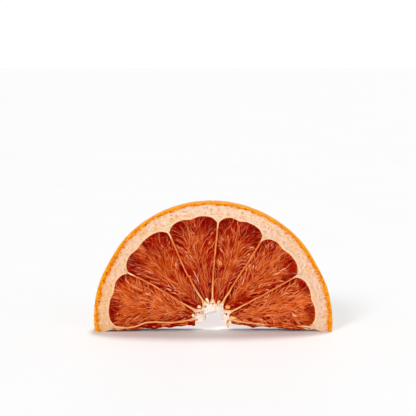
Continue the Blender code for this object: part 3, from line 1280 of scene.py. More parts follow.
@dataclass
class JuiceSacs:
    """Layout of the juice sacs in one face of a pocket, as long cells that fan in."""

    pocket: Pocket
    seed: int
    fanning: float
    length: float
    spacing: float = 1.75 * MM
    reference: float = 42.0 * MM
    straightness: float = 0.04
    crowding: float = 1.15
    tries: int = 12

    def stream(self, spots: Spots) -> tuple[Array, Array]:
        """Gives a place's streamline, along which the sacs lie, and the lines' spacing.

        Args:
            spots: The places.

        Returns:
            The streamlines' numbers, and the width that one unit of them takes there.
        """
        pinch = (spots.radius / self.reference) ** self.fanning + self.straightness
        return (2.0 * spots.across - 1.0) / pinch, pinch * self.pocket.half_width(spots.radius)

    def slope(self, spots: Spots) -> Array:
        """Gives how far a streamline runs sideways for each step outwards.

        Args:
            spots: The places.

        Returns:
            The slopes.
        """
        power = (spots.radius / self.reference) ** self.fanning
        turning = 1.0 + self.fanning * power / (power + self.straightness)
        return (2.0 * spots.across - 1.0) * self.pocket.half_width(spots.radius) / spots.radius * turning

    @cached_property
    def middles(self) -> tuple[Array, Array]:
        """Streamlines and radii of the sacs' middles, spread evenly."""
        chance = np.random.default_rng(self.seed)
        near, far = self.pocket.tip, self.pocket.low_lobe
        steps = np.linspace(near, far, 60)
        area = float(np.trapz(2.0 * self.pocket.half_width(steps), steps))
        lines, radii = np.empty(0), np.empty(0)
        for _ in range(round(self.crowding * area / (self.spacing * self.length))):
            radius = np.sqrt(chance.uniform(near**2, far**2, self.tries))
            line, width = self.stream(Spots(chance.uniform(0.0, 1.0, self.tries), radius))
            best = 0
            if len(lines):
                sideways = (line[:, None] - lines) * width[:, None] / self.spacing
                lengthways = (radius[:, None] - radii) / self.length
                best = int(np.argmax(np.hypot(sideways, lengthways).min(axis=1)))
            lines = np.append(lines, line[best])
            radii = np.append(radii, radius[best])
        return lines, radii

    def read(self, spots: Spots) -> tuple[Array, Array, Array, Array]:
        """Finds the sac at each place.

        Args:
            spots: The places.

        Returns:
            The distances to the sac's wall, two random numbers of the sac and one of the
            wall, from 0 to 1.
        """
        lines, radii = self.middles
        line, width = self.stream(spots)
        first, second = np.full((2, len(line)), np.inf)
        nearest, next_nearest = np.zeros((2, len(line)), int)
        for number, (sac_line, sac_radius) in enumerate(zip(lines, radii)):
            away = ((line - sac_line) * width / self.spacing) ** 2
            away += ((spots.radius - sac_radius) / self.length) ** 2
            closer = away < first
            between = ~closer & (away < second)
            second = np.where(closer, first, np.where(between, away, second))
            next_nearest = np.where(closer, nearest, np.where(between, number, next_nearest))
            first = np.where(closer, away, first)
            nearest = np.where(closer, number, nearest)
        sideways = (lines[nearest] - lines[next_nearest]) * width / self.spacing
        lengthways = (radii[nearest] - radii[next_nearest]) / self.length
        lean = lengthways / self.length - sideways * self.slope(spots) / self.spacing
        wall = 0.5 * (second - first) / np.hypot(sideways / self.spacing, lean).clip(50.0)
        chance = np.random.default_rng(self.seed + 1)
        tones, heights = chance.uniform(0.0, 1.0, (2, len(lines)))
        pairs = chance.uniform(0.0, 1.0, (len(lines), len(lines)))
        low, high = np.minimum(nearest, next_nearest), np.maximum(nearest, next_nearest)
        return wall, tones[nearest], heights[nearest], pairs[low, high]

    def strands(self, spots: Spots, width: float, run: float, grain: Grain) -> Array:
        """Gives a pattern of fine strands that follow the sacs at an even width.

        Args:
            spots: The places.
            width: Width of a strand.
            run: Length of a strand.
            grain: The noise that draws it.

        Returns:
            The pattern, from -1 to 1.
        """
        line, unit = self.stream(spots)
        level = np.log2(np.maximum(unit, 1e-6) / width)
        whole = np.floor(level)
        total = np.zeros(len(line))
        for step in (0.0, 1.0):
            share = np.abs(1.0 - step - (level - whole))
            wave = (line * 2.0 ** (whole + step), spots.radius / run, whole + step)
            total += share * grain.at(np.column_stack(wave), 1.0)
        return total

    def strokes(self, spots: Spots, kind: Stroke) -> Array:
        """Draws single fine strokes that lie along the sacs.

        Args:
            spots: The places.
            kind: What the strokes are like.

        Returns:
            Their strength, from 0 to 1.
        """
        chance = np.random.default_rng(self.seed + kind.seed)
        near, far = self.pocket.tip, max(self.pocket.low_lobe, self.pocket.high_lobe)
        radii = np.sqrt(chance.uniform(near**2, far**2, kind.count))
        shares = chance.uniform(0.0, 1.0, kind.count)
        starts, _ = self.stream(Spots(shares, radii))
        lengths = chance.uniform(0.5, 1.5, kind.count) * kind.length
        widths = chance.uniform(0.7, 1.3, kind.count) * kind.width
        slants = chance.normal(0.0, kind.slant, kind.count)
        slants = slants + kind.lean * np.clip(4.0 * shares - 2.0, -1.0, 1.0)
        bends = chance.normal(0.0, 0.5 * kind.slant, kind.count)
        powers = chance.uniform(0.35, 1.0, kind.count)
        steeps = np.hypot(1.0, self.slope(Spots(shares, radii)) + slants)
        line, unit = self.stream(spots)
        total = np.zeros(len(line))
        for at, start, length, width, slant, bend, power, steep in zip(
            radii, starts, lengths, widths, slants, bends, powers, steeps
        ):
            half = 0.5 * length / steep
            here = np.flatnonzero(np.abs(spots.radius - at) < half)
            gone = (spots.radius[here] - at) / half
            away = (line[here] - start) * unit[here] - half * (slant * gone + bend * gone**2)
            strength = power * (1.0 - gone**2) * np.exp(-((away / (width * steep)) ** 2))
            total[here] = np.maximum(total[here], strength)
        return total


@dataclass(frozen=True)
class SegmentLook:
    """What sets one segment's flesh apart from the others'."""

    fanning: float
    warmth: float
    dark_rind: float
    glow: float = 0.0
    sac_length: float = 6.5 * MM
    rind_edge_width: float = 10.0 * MM


LOOKS = (
    SegmentLook(1.3, 0.9, 0.6, 0.6, 5.0 * MM, 5.0 * MM),
    SegmentLook(1.5, 0.3, 0.5, rind_edge_width=8.0 * MM),
    SegmentLook(4.2, 0.05, 0.9),
    SegmentLook(5.0, -0.05, 0.9),
    SegmentLook(1.5, 0.15, 0.7),
    SegmentLook(2.2, 0.85, 0.65, 0.0, 4.0 * MM, 5.5 * MM),
)


@dataclass
class SegmentFace:
    """Relief and tints of one segment's flesh on one face, with a value for each point."""

    pocket: Pocket
    look: SegmentLook
    face: Face
    across: Array
    along: Array
    inset: float
    sink: float = 0.45 * MM
    edge_sink: float = 0.15 * MM
    rind_sink: float = 0.1 * MM
    tip_sink: float = 0.3 * MM
    fringe_sink: float = 0.24 * MM
    least_sink: float = 0.12 * MM
    edge_width: float = 2.4 * MM
    ridge_width: float = 0.13 * MM
    groove_place: float = 0.34 * MM
    groove_width: float = 0.16 * MM
    sac_rounding: float = 0.45 * MM
    cleft_width: float = 0.13

    def __post_init__(self) -> None:
        """Lays out the points, the noises and the sacs."""
        seed = 100 * self.pocket.index + 7 * self.face.value + 50
        self.coarse, self.medium, self.fine = Grain(seed), Grain(seed + 3), Grain(seed + 5)
        self.radius, angle = self.pocket.plan(self.across, self.along, self.inset)
        turn = np.radians(angle)
        self.flat = np.column_stack((self.radius * np.cos(turn), self.radius * np.sin(turn)))
        self.half = self.pocket.half_width(self.radius)
        self.side = np.abs(2.0 * self.across - 1.0)
        inner, outer = self.pocket.ends(self.across, self.inset)
        self.rind_gap = (1.0 - self.along) * (outer - inner)
        self.patches = self.coarse.rough(self.flat, 3.2 * MM)
        self.blots = self.medium.rough(self.flat + 7.0 * MM, 2.4 * MM)

        wander = 0.35 * MM * self.coarse.rough(self.flat, 3.0 * MM)
        stretch = 0.8 * MM * self.medium.rough(self.flat, 4.0 * MM)
        self.bent = Spots(self.across + wander / self.half * self.along, self.radius + stretch)
        self.sacs = JuiceSacs(self.pocket, seed, self.look.fanning, self.look.sac_length)
        self.wall, self.tone, self.height, self.kind = self.sacs.read(self.bent)
        self.silk = self.sacs.strands(self.bent, 0.6 * MM, 4.5 * MM, self.fine)
        self.weave = self.sacs.strands(self.bent, 0.38 * MM, 3.6 * MM, self.coarse)

    @cached_property
    def edge(self) -> Array:
        """Nearness of a side wall, in banks."""
        banks = self.fine.at(np.column_stack((self.radius, np.sign(self.across - 0.5))), (6.0 * MM, 0.5))
        gap = (1.0 - self.side) * self.half - 0.5 * MM * self.blots
        return (1.0 - smooth_step(0.0, self.edge_width, gap)) * np.clip(0.6 + 0.7 * banks, 0.1, 1.0)

    @cached_property
    def rind_edge(self) -> Array:
        """Nearness of the rind."""
        gap = (self.rind_gap - 2.0 * MM * self.patches) / self.look.rind_edge_width
        return 1.0 - smooth_step(0.2, 1.0, gap)

    @cached_property
    def cleft(self) -> Array:
        """Nearness of the line between the two lobes."""
        return np.exp(-(((self.across - self.pocket.cleft) / self.cleft_width) ** 2))

    @cached_property
    def calm(self) -> Array:
        """Smoothness of the lobes at the rind."""
        return self.rind_edge * (1.0 - 0.75 * self.cleft)

    @cached_property
    def lobes(self) -> Array:
        """Darkness of the lobes at the rind."""
        return self.look.dark_rind * self.calm

    @cached_property
    def tip(self) -> Array:
        """Nearness of the segment's tip."""
        return 1.0 - smooth_step(0.08, 0.42, self.along)

    @cached_property
    def fringe(self) -> Array:
        """The seam at the rind, raised towards the skin and painted in warm glow instead of shade."""
        return 1.0 - smooth_step(0.1 * MM, 0.7 * MM, self.rind_gap)

    @cached_property
    def middle(self) -> Array:
        """Nearness of the line midway between the walls."""
        midway = np.exp(-((self.side / 0.6) ** 2)) * smooth_step(10.0 * MM, 20.0 * MM, self.radius)
        return midway * (1.0 - 0.85 * self.lobes)

    @cached_property
    def strength(self) -> Array:
        """How clearly the sac's wall shows."""
        return (0.2 + 0.8 * smooth_step(0.3, 0.8, self.kind)) * smooth_step(-0.5, 0.2, self.patches)

    @cached_property
    def ridge(self) -> Array:
        """The light line of a sac's wall."""
        line = np.exp(-((self.wall / self.ridge_width) ** 2)) * self.strength
        return line * (1.0 - 0.4 * self.tip) * (1.0 - 0.75 * self.calm)

    @cached_property
    def swell(self) -> Array:
        """Rounding of the sacs."""
        return 1.0 - np.exp(-((self.wall / self.sac_rounding) ** 2))

    @cached_property
    def comb(self) -> Array:
        """Light fibres that spread from the cleft."""
        reach = smooth_step(11.0 * MM, 4.0 * MM, self.rind_gap)
        return self.cleft**2 * reach * smooth_step(0.2, 0.5, self.weave)

    @cached_property
    def thread(self) -> Array:
        """Light threads."""
        sacs, bent, calm = self.sacs, self.bent, self.calm
        thread = np.maximum(sacs.strokes(bent, THREAD), 0.8 * sacs.strokes(bent, SHORT_THREAD))
        vein = sacs.strokes(bent, VEIN) * smooth_step(7.5 * MM, 11.0 * MM, self.radius)
        thread = np.maximum(thread, 0.9 * vein)
        thread = thread + calm * (smooth_step(0.4, 0.9, thread) - thread)
        parting = smooth_step(0.35, 0.7, self.weave) * self.middle * smooth_step(-0.5, 0.3, self.patches)
        thread = np.maximum(thread, np.maximum(0.8 * self.comb, 0.3 * parting * (1.0 - calm)))
        net = np.exp(-((self.medium.at(self.flat, 2.2 * MM) / 0.1) ** 2))
        net = net * smooth_step(-0.3, 0.3, self.fine.at(self.flat, 3.0 * MM))
        thread = np.maximum(thread, 0.3 * net * self.lobes)
        return thread * (1.0 + 0.3 * self.look.warmth) * (1.0 - 0.25 * self.lobes)

    @cached_property
    def crease(self) -> Array:
        """Dark creases along the sacs, dented into the relief and painted darker as their shade."""
        folds = smooth_step(0.25, 0.6, -self.weave) * (0.2 + 0.8 * self.middle)
        crease = np.maximum(self.sacs.strokes(self.bent, CREASE), 0.36 * folds)
        return crease * (1.0 + 0.1 * self.look.warmth)

    @cached_property
    def painted_glint(self) -> Array:
        """Painted glints: pale highlights beside the middle and at the tip."""
        lateral = smooth_step(0.2, 0.5, self.side) * smooth_step(0.98, 0.9, self.side)
        spark = smooth_step(-0.1, 0.25, self.fine.rough(self.flat + 9.0 * MM, 3.4 * MM, 2))
        painted_glint = self.sacs.strokes(self.bent, GLINT) * spark * (1.0 - 0.75 * self.calm)
        return painted_glint * np.maximum(0.2 + 0.8 * lateral, self.tip)

    @cached_property
    def glow(self) -> Array:
        """Warm light through the flesh beside the low wall."""
        low_side = 1.0 - smooth_step(0.5 * MM, 4.5 * MM, 2.0 * self.across * self.half)
        glow = self.look.glow * low_side * smooth_step(20.0 * MM, 30.0 * MM, self.radius)
        return glow * smooth_step(-0.3, 0.4, self.blots)

    def sunk(self) -> Array:
        """Gives how far the flesh lies below the slice's face.

        Returns:
            The distances.
        """
        depth = self.sink + self.edge_sink * self.edge + self.rind_sink * self.rind_edge**2
        depth = depth + self.tip_sink * self.tip - 0.12 * MM * self.ridge
        depth = depth - 0.35 * MM * (self.height - 0.5) * self.swell * (1.0 - 0.6 * self.tip)
        depth = depth - 0.12 * MM * self.swell - 0.05 * MM * self.silk
        depth = depth - 0.07 * MM * self.thread - 0.05 * MM * self.painted_glint
        depth = depth + 0.08 * MM * self.crease - 0.2 * MM * self.medium.rough(self.flat, 2.6 * MM)
        depth = depth + self.fringe * (self.fringe_sink - depth)
        return np.maximum(depth, self.least_sink)

    def warmth(self) -> Array:
        """Gives the warmth of the flesh's colour.

        Returns:
            Values from below 0, red, to above 1, glowing orange.
        """
        warmth = self.look.warmth + 0.8 * self.middle + 1.0 * (self.tone - 0.5) * self.swell
        warmth = warmth + 1.4 * self.glow + 0.1 * self.silk
        # The seam at the rind is painted in warm glow.
        return warmth * (1.0 - 0.9 * self.lobes) - 0.45 * self.lobes + 0.1 * self.comb + 1.0 * self.fringe

    def shade(self) -> Array:
        """Gives the darkness of the flesh: the sacs' own darker tones, and painted shade on the sacs that
        lie low and in the grooves beside the sac walls; it also grows towards the walls, the lobes and the
        tip.

        Returns:
            Values from 0 to 1.
        """
        # Painted shade in the groove beside each sac wall.
        groove_shade = np.exp(-(((self.wall - self.groove_place) / self.groove_width) ** 2)) * self.strength
        shade = np.maximum(self.edge, self.lobes * (0.5 + 0.7 * self.tone)) - 0.2 * self.middle
        # Painted shade on the low sacs and in the grooves.
        shade = shade + 0.8 * (0.4 - self.height) * self.swell + groove_shade * (0.5 + 0.4 * self.calm)
        shade = shade + 0.1 * self.tip - 0.08 * self.look.warmth
        shade = shade + 0.6 * smooth_step(0.4, 0.15, self.tone) * self.swell * (1.0 - 0.45 * self.middle)
        # The glow beside the low wall and the seam at the rind take the darkness away.
        return np.clip(shade - 0.6 * self.blots - self.glow, 0.0, 0.95) * (1.0 - 0.85 * self.fringe)


@dataclass
class Segment:
    """Flesh of one segment, sunk between its walls on both faces."""

    pocket: Pocket
    look: SegmentLook
    material: Material
    inset: float = 0.2 * MM
    across: int = 156
    along: int = 310

    def place(self, unit: Array) -> Placed:
        """Draws the unit block out to the flesh.

        Args:
            unit: Shares across, along and through the segment.

        Returns:
            The points and their values.
        """
        across, along, through = unit.T
        radius, angle = self.pocket.plan(across, along, self.inset)
        depth = np.empty(len(unit))
        sacs, strands = np.empty((2, len(unit), 3))
        for side in Face:
            here = through < 0.5 if side is Face.FRONT else through >= 0.5
            face = SegmentFace(self.pocket, self.look, side, across[here], along[here], self.inset)
            depth[here] = side.value * (PLAN.thickness / 2 - face.sunk())
            sacs[here] = rows(np.clip(face.ridge, 0.0, 1.0), face.warmth(), face.shade())
            strands[here] = rows(
                np.clip(face.thread, 0.0, 1.0), np.clip(2.3 * face.painted_glint, 0.0, 1.0), face.crease
            )
        return PLAN.point(radius, angle, depth), {"sacs": sacs, "strands": strands}

    def build(self) -> None:
        """Builds the segment."""
        shape = unit_block(self.across, self.along, 1)
        finished_piece(f"flesh_{self.pocket.index}", shape, self.place, self.material)


def skin_values(
    radius: Array, strip: Array, grain: Grain, flank: float | Array = 0.0, extra: float | Array = 0.0,
    pith: float = 34.0 * MM,
) -> dict[str, Array]:
    """Gives the values that the skins' finish reads.

    Args:
        radius: Distances from the fruit's axis.
        strip: Places for the noise.
        grain: The noise of the tint.
        flank: Depths under the face on the side of the flesh, in millimetres.
        extra: What is added to the tint.
        pith: Radius at which the cream of the pith begins.

    Returns:
        The attribute by its name.
    """
    to_pith = smooth_step(pith, pith + 4.0 * MM, radius)
    to_core = 1.0 - smooth_step(8.0 * MM, 17.0 * MM, radius)
    tint = grain.rough(strip + 3.0, 2.4 * MM) + extra
    return {"skin": rows(to_pith - to_core, flank, tint)}


def low_wall_tint(points: Array) -> Array:
    """Gives the extra tint of the lowest walls, golden but red where the right one is frayed.

    Args:
        points: The points.

    Returns:
        The tint, 0 away from those walls.
    """
    reach = points[:, 0]
    low = smooth_step(5.2 * MM, 4.4 * MM, points[:, 2])
    frayed = smooth_step(20.0 * MM, 23.0 * MM, reach) * smooth_step(35.0 * MM, 33.0 * MM, reach)
    waves = Grain(77).rough(points, 1.6 * MM, 2)
    broad = smooth_step(-14.0 * MM, -24.0 * MM, reach)
    return low * (0.7 + 0.6 * broad * (1.0 + waves) - 1.8 * frayed + 2.0 * frayed * waves)


@dataclass
class Partition:
    """Middle of a wall, which closes the groove between two segments' skins."""

    number: int
    material: Material
    width: float = 0.3 * MM
    sink: float = 0.2 * MM
    inner: float = 7.6 * MM
    outer: float = 38.4 * MM

    def place(self, unit: Array) -> Placed:
        """Draws the unit block out to the wall's middle.

        Args:
            unit: Shares from the core to the rind, across the wall, and through the slice.

        Returns:
            The points and their values.
        """
        outwards, across, through = unit.T
        radius = self.inner + (self.outer - self.inner) * outwards
        offset = (across - 0.5) * self.width
        side = 2.0 * through - 1.0
        strip = np.column_stack((radius, np.sign(side)))
        angle = PLAN.walls[self.number].angle(radius) + np.degrees(offset / radius)
        grain = Grain(700 + self.number)
        drop = self.sink + 0.05 * MM * grain.rough(strip, 1.5 * MM)
        points = PLAN.point(radius, angle, side * (PLAN.thickness / 2 - drop))
        return points, skin_values(radius, strip, grain)

    def build(self) -> None:
        """Builds the wall's middle."""
        finished_piece(f"partition_{self.number}", unit_block(200, 3, 12), self.place, self.material)


@dataclass
class Lining:
    """The skin round one segment: two neighbours' skins make a wall between them."""

    pocket: Pocket
    material: Material
    width: float = 0.28 * MM
    flare: float = 0.2 * MM
    flare_depth: float = 0.7 * MM
    around: int = 480
    unit_width: float = 0.1
    unit_height: float = 10.0

    @cached_property
    def section(self) -> list[tuple[float, float]]:
        """Points of the skin's section: half circles at the faces, straight sides."""
        points = []
        levels = (9.75, 9.4, 9.0, 8.5, 7.5, 5.0, 0.0, -5.0, -7.5, -8.5, -9.0, -9.4, -9.75)
        for face, start in ((1.0, 0.0), (-1.0, 180.0)):
            for step in range(7):
                turn = math.radians(start + 30.0 * step)
                points.append((0.5 * math.cos(turn), face * self.unit_height + 0.5 * math.sin(turn)))
            points += [(-0.5 * face, face * level) for level in levels]
        return [(self.unit_width * out, height) for out, height in points]

    def place(self, unit: Array) -> Placed:
        """Draws the unit ring out to the skin.

        Args:
            unit: Points of the ring.

        Returns:
            The points and their values.
        """
        turn = (np.arctan2(unit[:, 1], unit[:, 0]) / (2.0 * math.pi)) % 1.0
        out = (np.hypot(unit[:, 0], unit[:, 1]) - 1.0) / self.unit_width
        level = unit[:, 2]
        count = 4 * self.around
        outline = self.pocket.rounded(0.5 * self.width, count)
        index = np.round(turn * count).astype(int) % count
        ahead = outline[(index + 4) % count] - outline[(index - 4) % count]
        ahead /= np.linalg.norm(ahead, axis=1, keepdims=True)
        inwards = np.column_stack((ahead[:, 1], -ahead[:, 0]))
        middle = outline[index]

        grain = Grain(900 + self.pocket.index)
        face = np.sign(level)
        strip = np.column_stack((middle, face))
        drop = 0.09 * MM * (1.0 + grain.rough(strip, 3.0 * MM))
        drop = drop + 0.05 * MM * (1.0 + grain.at(strip, 0.8 * MM))
        width = self.width * (1.0 + 0.35 * grain.rough(strip * (1, 1, 0.002), 1.6 * MM))
        cap = np.clip(np.abs(level) - self.unit_height, -self.unit_height, None)
        tall = PLAN.thickness / 2 - drop - 0.5 * width
        straight = tall * np.clip(np.abs(level) / self.unit_height, 0.0, 1.0)
        depth = np.where(cap > 0.0, tall + cap * width, straight) * face
        below = PLAN.thickness / 2 - drop - np.abs(depth)
        flank = self.flare * smooth_step(0.1 * MM, self.flare_depth, below) * smooth_step(0.0, 0.5, out)
        plan = middle + inwards * (out * width + flank)[:, None]
        points = np.column_stack((plan[:, 0], depth, plan[:, 1] + PLAN.axis_height))
        shown = np.where(out > 0.0, below / MM, 0.0)
        reach = np.hypot(middle[:, 0], middle[:, 1])
        return points, skin_values(reach, strip, grain, shown, low_wall_tint(points))

    def build(self) -> None:
        """Builds the skin."""
        shape = unit_ring(self.section, self.around)
        finished_piece(f"lining_{self.pocket.index}", shape, self.place, self.material)


@dataclass
class LowerStrip:
    """What is left of the cut-through segment below the lowest wall on one side."""

    hand: Hand
    flesh: Material
    membrane: Material
    inner_reach: float = 7.0 * MM
    outer_reach: float = 40.6 * MM
    sink: float = 0.42 * MM
    least_sink: float = 0.12 * MM
    skin_width: float = 0.3 * MM
    skin_overhang: float = 0.6 * MM
    left_edge: tuple[tuple[float, float], ...] = (
        (7.0, 2.9), (7.9, 2.0), (8.9, 2.4), (10.3, 2.5), (12.7, 2.1), (15.2, 2.0), (17.6, 1.5),
        (20.0, 1.7), (21.9, 1.4), (23.9, 0.95), (27.3, 1.4), (31.4, 0.7), (36.0, 0.4), (38.9, 0.2),
        (41.0, 0.3),
    )
    right_edge: tuple[tuple[float, float], ...] = (
        (7.2, 3.2), (9.5, 2.7), (13.5, 2.3), (16.2, 1.4), (18.5, 2.0), (23.6, 1.7), (28.0, 1.2),
        (30.1, 0.8), (33.0, 0.75), (37.0, 0.9), (39.3, 1.2), (41.5, 0.7),
    )

    @property
    def wall(self) -> Wall:
        """The lowest whole wall on this side."""
        return PLAN.walls[0] if self.hand is Hand.RIGHT else PLAN.walls[-1]

    def torn_edge(self, reach: Array) -> Array:
        """Gives the height of the strip's torn lower edge at distances from the middle along X."""
        course = self.right_edge if self.hand is Hand.RIGHT else self.left_edge
        return np.interp(reach, *(np.array(course) * MM).T)

    def place_flesh(self, unit: Array) -> Placed:
        """Draws the unit block out to the strip of flesh.

        Args:
            unit: Shares from the core to the rind, from the torn edge up, and through.

        Returns:
            The points and their values.
        """
        outwards, upwards, through = unit.T
        grain, fine = Grain(40 + self.hand.value), Grain(60 + self.hand.value)
        radius = self.inner_reach + (self.outer_reach - self.inner_reach) * outwards
        turn = np.radians(self.wall.angle(radius))
        x = radius * np.cos(turn)
        top = PLAN.axis_height + radius * np.sin(turn) - 0.2 * MM
        side = 2.0 * through - 1.0
        flat = np.column_stack((x, side * PLAN.thickness / 2))
        inwards = 1.0 - np.abs(side) ** 4
        ragged = 0.5 * MM * grain.rough(flat, 2.6 * MM) * inwards + 0.2 * MM * fine.rough(flat, 0.9 * MM)
        low = np.minimum(self.torn_edge(np.abs(x)) + ragged, top - 0.3 * MM)
        taper = smooth_step(-0.01, 0.02, outwards)
        centre = low + 0.65 * (top - low)
        low = centre + (low - centre) * taper
        top = centre + (top - centre) * taper
        bulge = np.sqrt(np.clip(1.0 - (1.0 - np.clip(upwards / 0.35, 0.0, 1.0)) ** 2, 0.0, 1.0))
        z = low + (top - low) * upwards
        spot = np.column_stack((x, 40.0 * side * MM, z))
        sunk = self.sink + 0.2 * MM * grain.rough(spot, 1.6 * MM) + 0.1 * MM * fine.rough(spot, 0.6 * MM)
        sunk = sunk + 0.6 * MM * (1.0 - bulge) + 0.9 * MM * (1.0 - taper)
        depth = side * (PLAN.thickness / 2 - np.maximum(sunk, self.least_sink))
        points = np.column_stack((x, depth, np.maximum(z, 0.15 * MM)))

        streak = fine.rough(np.column_stack((0.22 * x, spot[:, 1], z)), 0.4 * MM, 2)
        wet = grain.rough(spot, 1.1 * MM, 2)
        ridge = smooth_step(0.1, 0.45, streak)
        rim = np.maximum(smooth_step(0.25, 0.0, upwards), smooth_step(0.78, 1.0, upwards))
        shade = np.clip(1.1 * rim + 0.25 - 0.6 * streak, 0.0, 1.0)
        # Painted glints, and dark streaks between the light ones.
        painted_glint, crease = 0.6 * smooth_step(0.5, 0.8, wet), smooth_step(0.15, 0.45, -streak)
        values = {
            "sacs": rows(0.5 * ridge, 0.35 + 0.5 * wet, shade),
            "strands": rows(0.6 * ridge * (1.0 - rim), painted_glint, crease),
        }
        return points, values

    def place_skin(self, unit: Array) -> Placed:
        """Draws the unit block out to the skin along the strip's top.

        Args:
            unit: Shares from the core to the rind, across the skin, and through the slice.

        Returns:
            The points and their values.
        """
        outwards, across, through = unit.T
        grain = Grain(80 + self.hand.value)
        reach = self.outer_reach - self.inner_reach + 0.8 * MM
        radius = self.inner_reach - self.skin_overhang + reach * outwards
        offset = (across - 1.0 if self.hand is Hand.RIGHT else across) * self.skin_width
        side = 2.0 * through - 1.0
        strip = np.column_stack((radius, np.sign(side)))
        crown = 1.0 - np.sqrt(np.clip(1.0 - (2.0 * across - 1.0) ** 2, 0.0, 1.0))
        drop = 0.12 * MM * (1.0 + grain.rough(strip, 3.0 * MM))
        depth = side * (PLAN.thickness / 2 - drop - 0.5 * self.skin_width * crown)
        points = PLAN.point(radius, self.wall.angle(radius) + np.degrees(offset / radius), depth)
        points[:, 2] = np.maximum(points[:, 2], 0.3 * MM)
        return points, skin_values(radius, strip, grain, 0.0, low_wall_tint(points), 34.5 * MM)

    def build(self) -> None:
        """Builds the strip and its skin."""
        name = self.hand.name.lower()
        finished_piece(f"torn_pulp_{name}", unit_block(200, 20, 56), self.place_flesh, self.flesh)
        finished_piece(f"torn_skin_{name}", unit_block(200, 6, 24), self.place_skin, self.membrane)


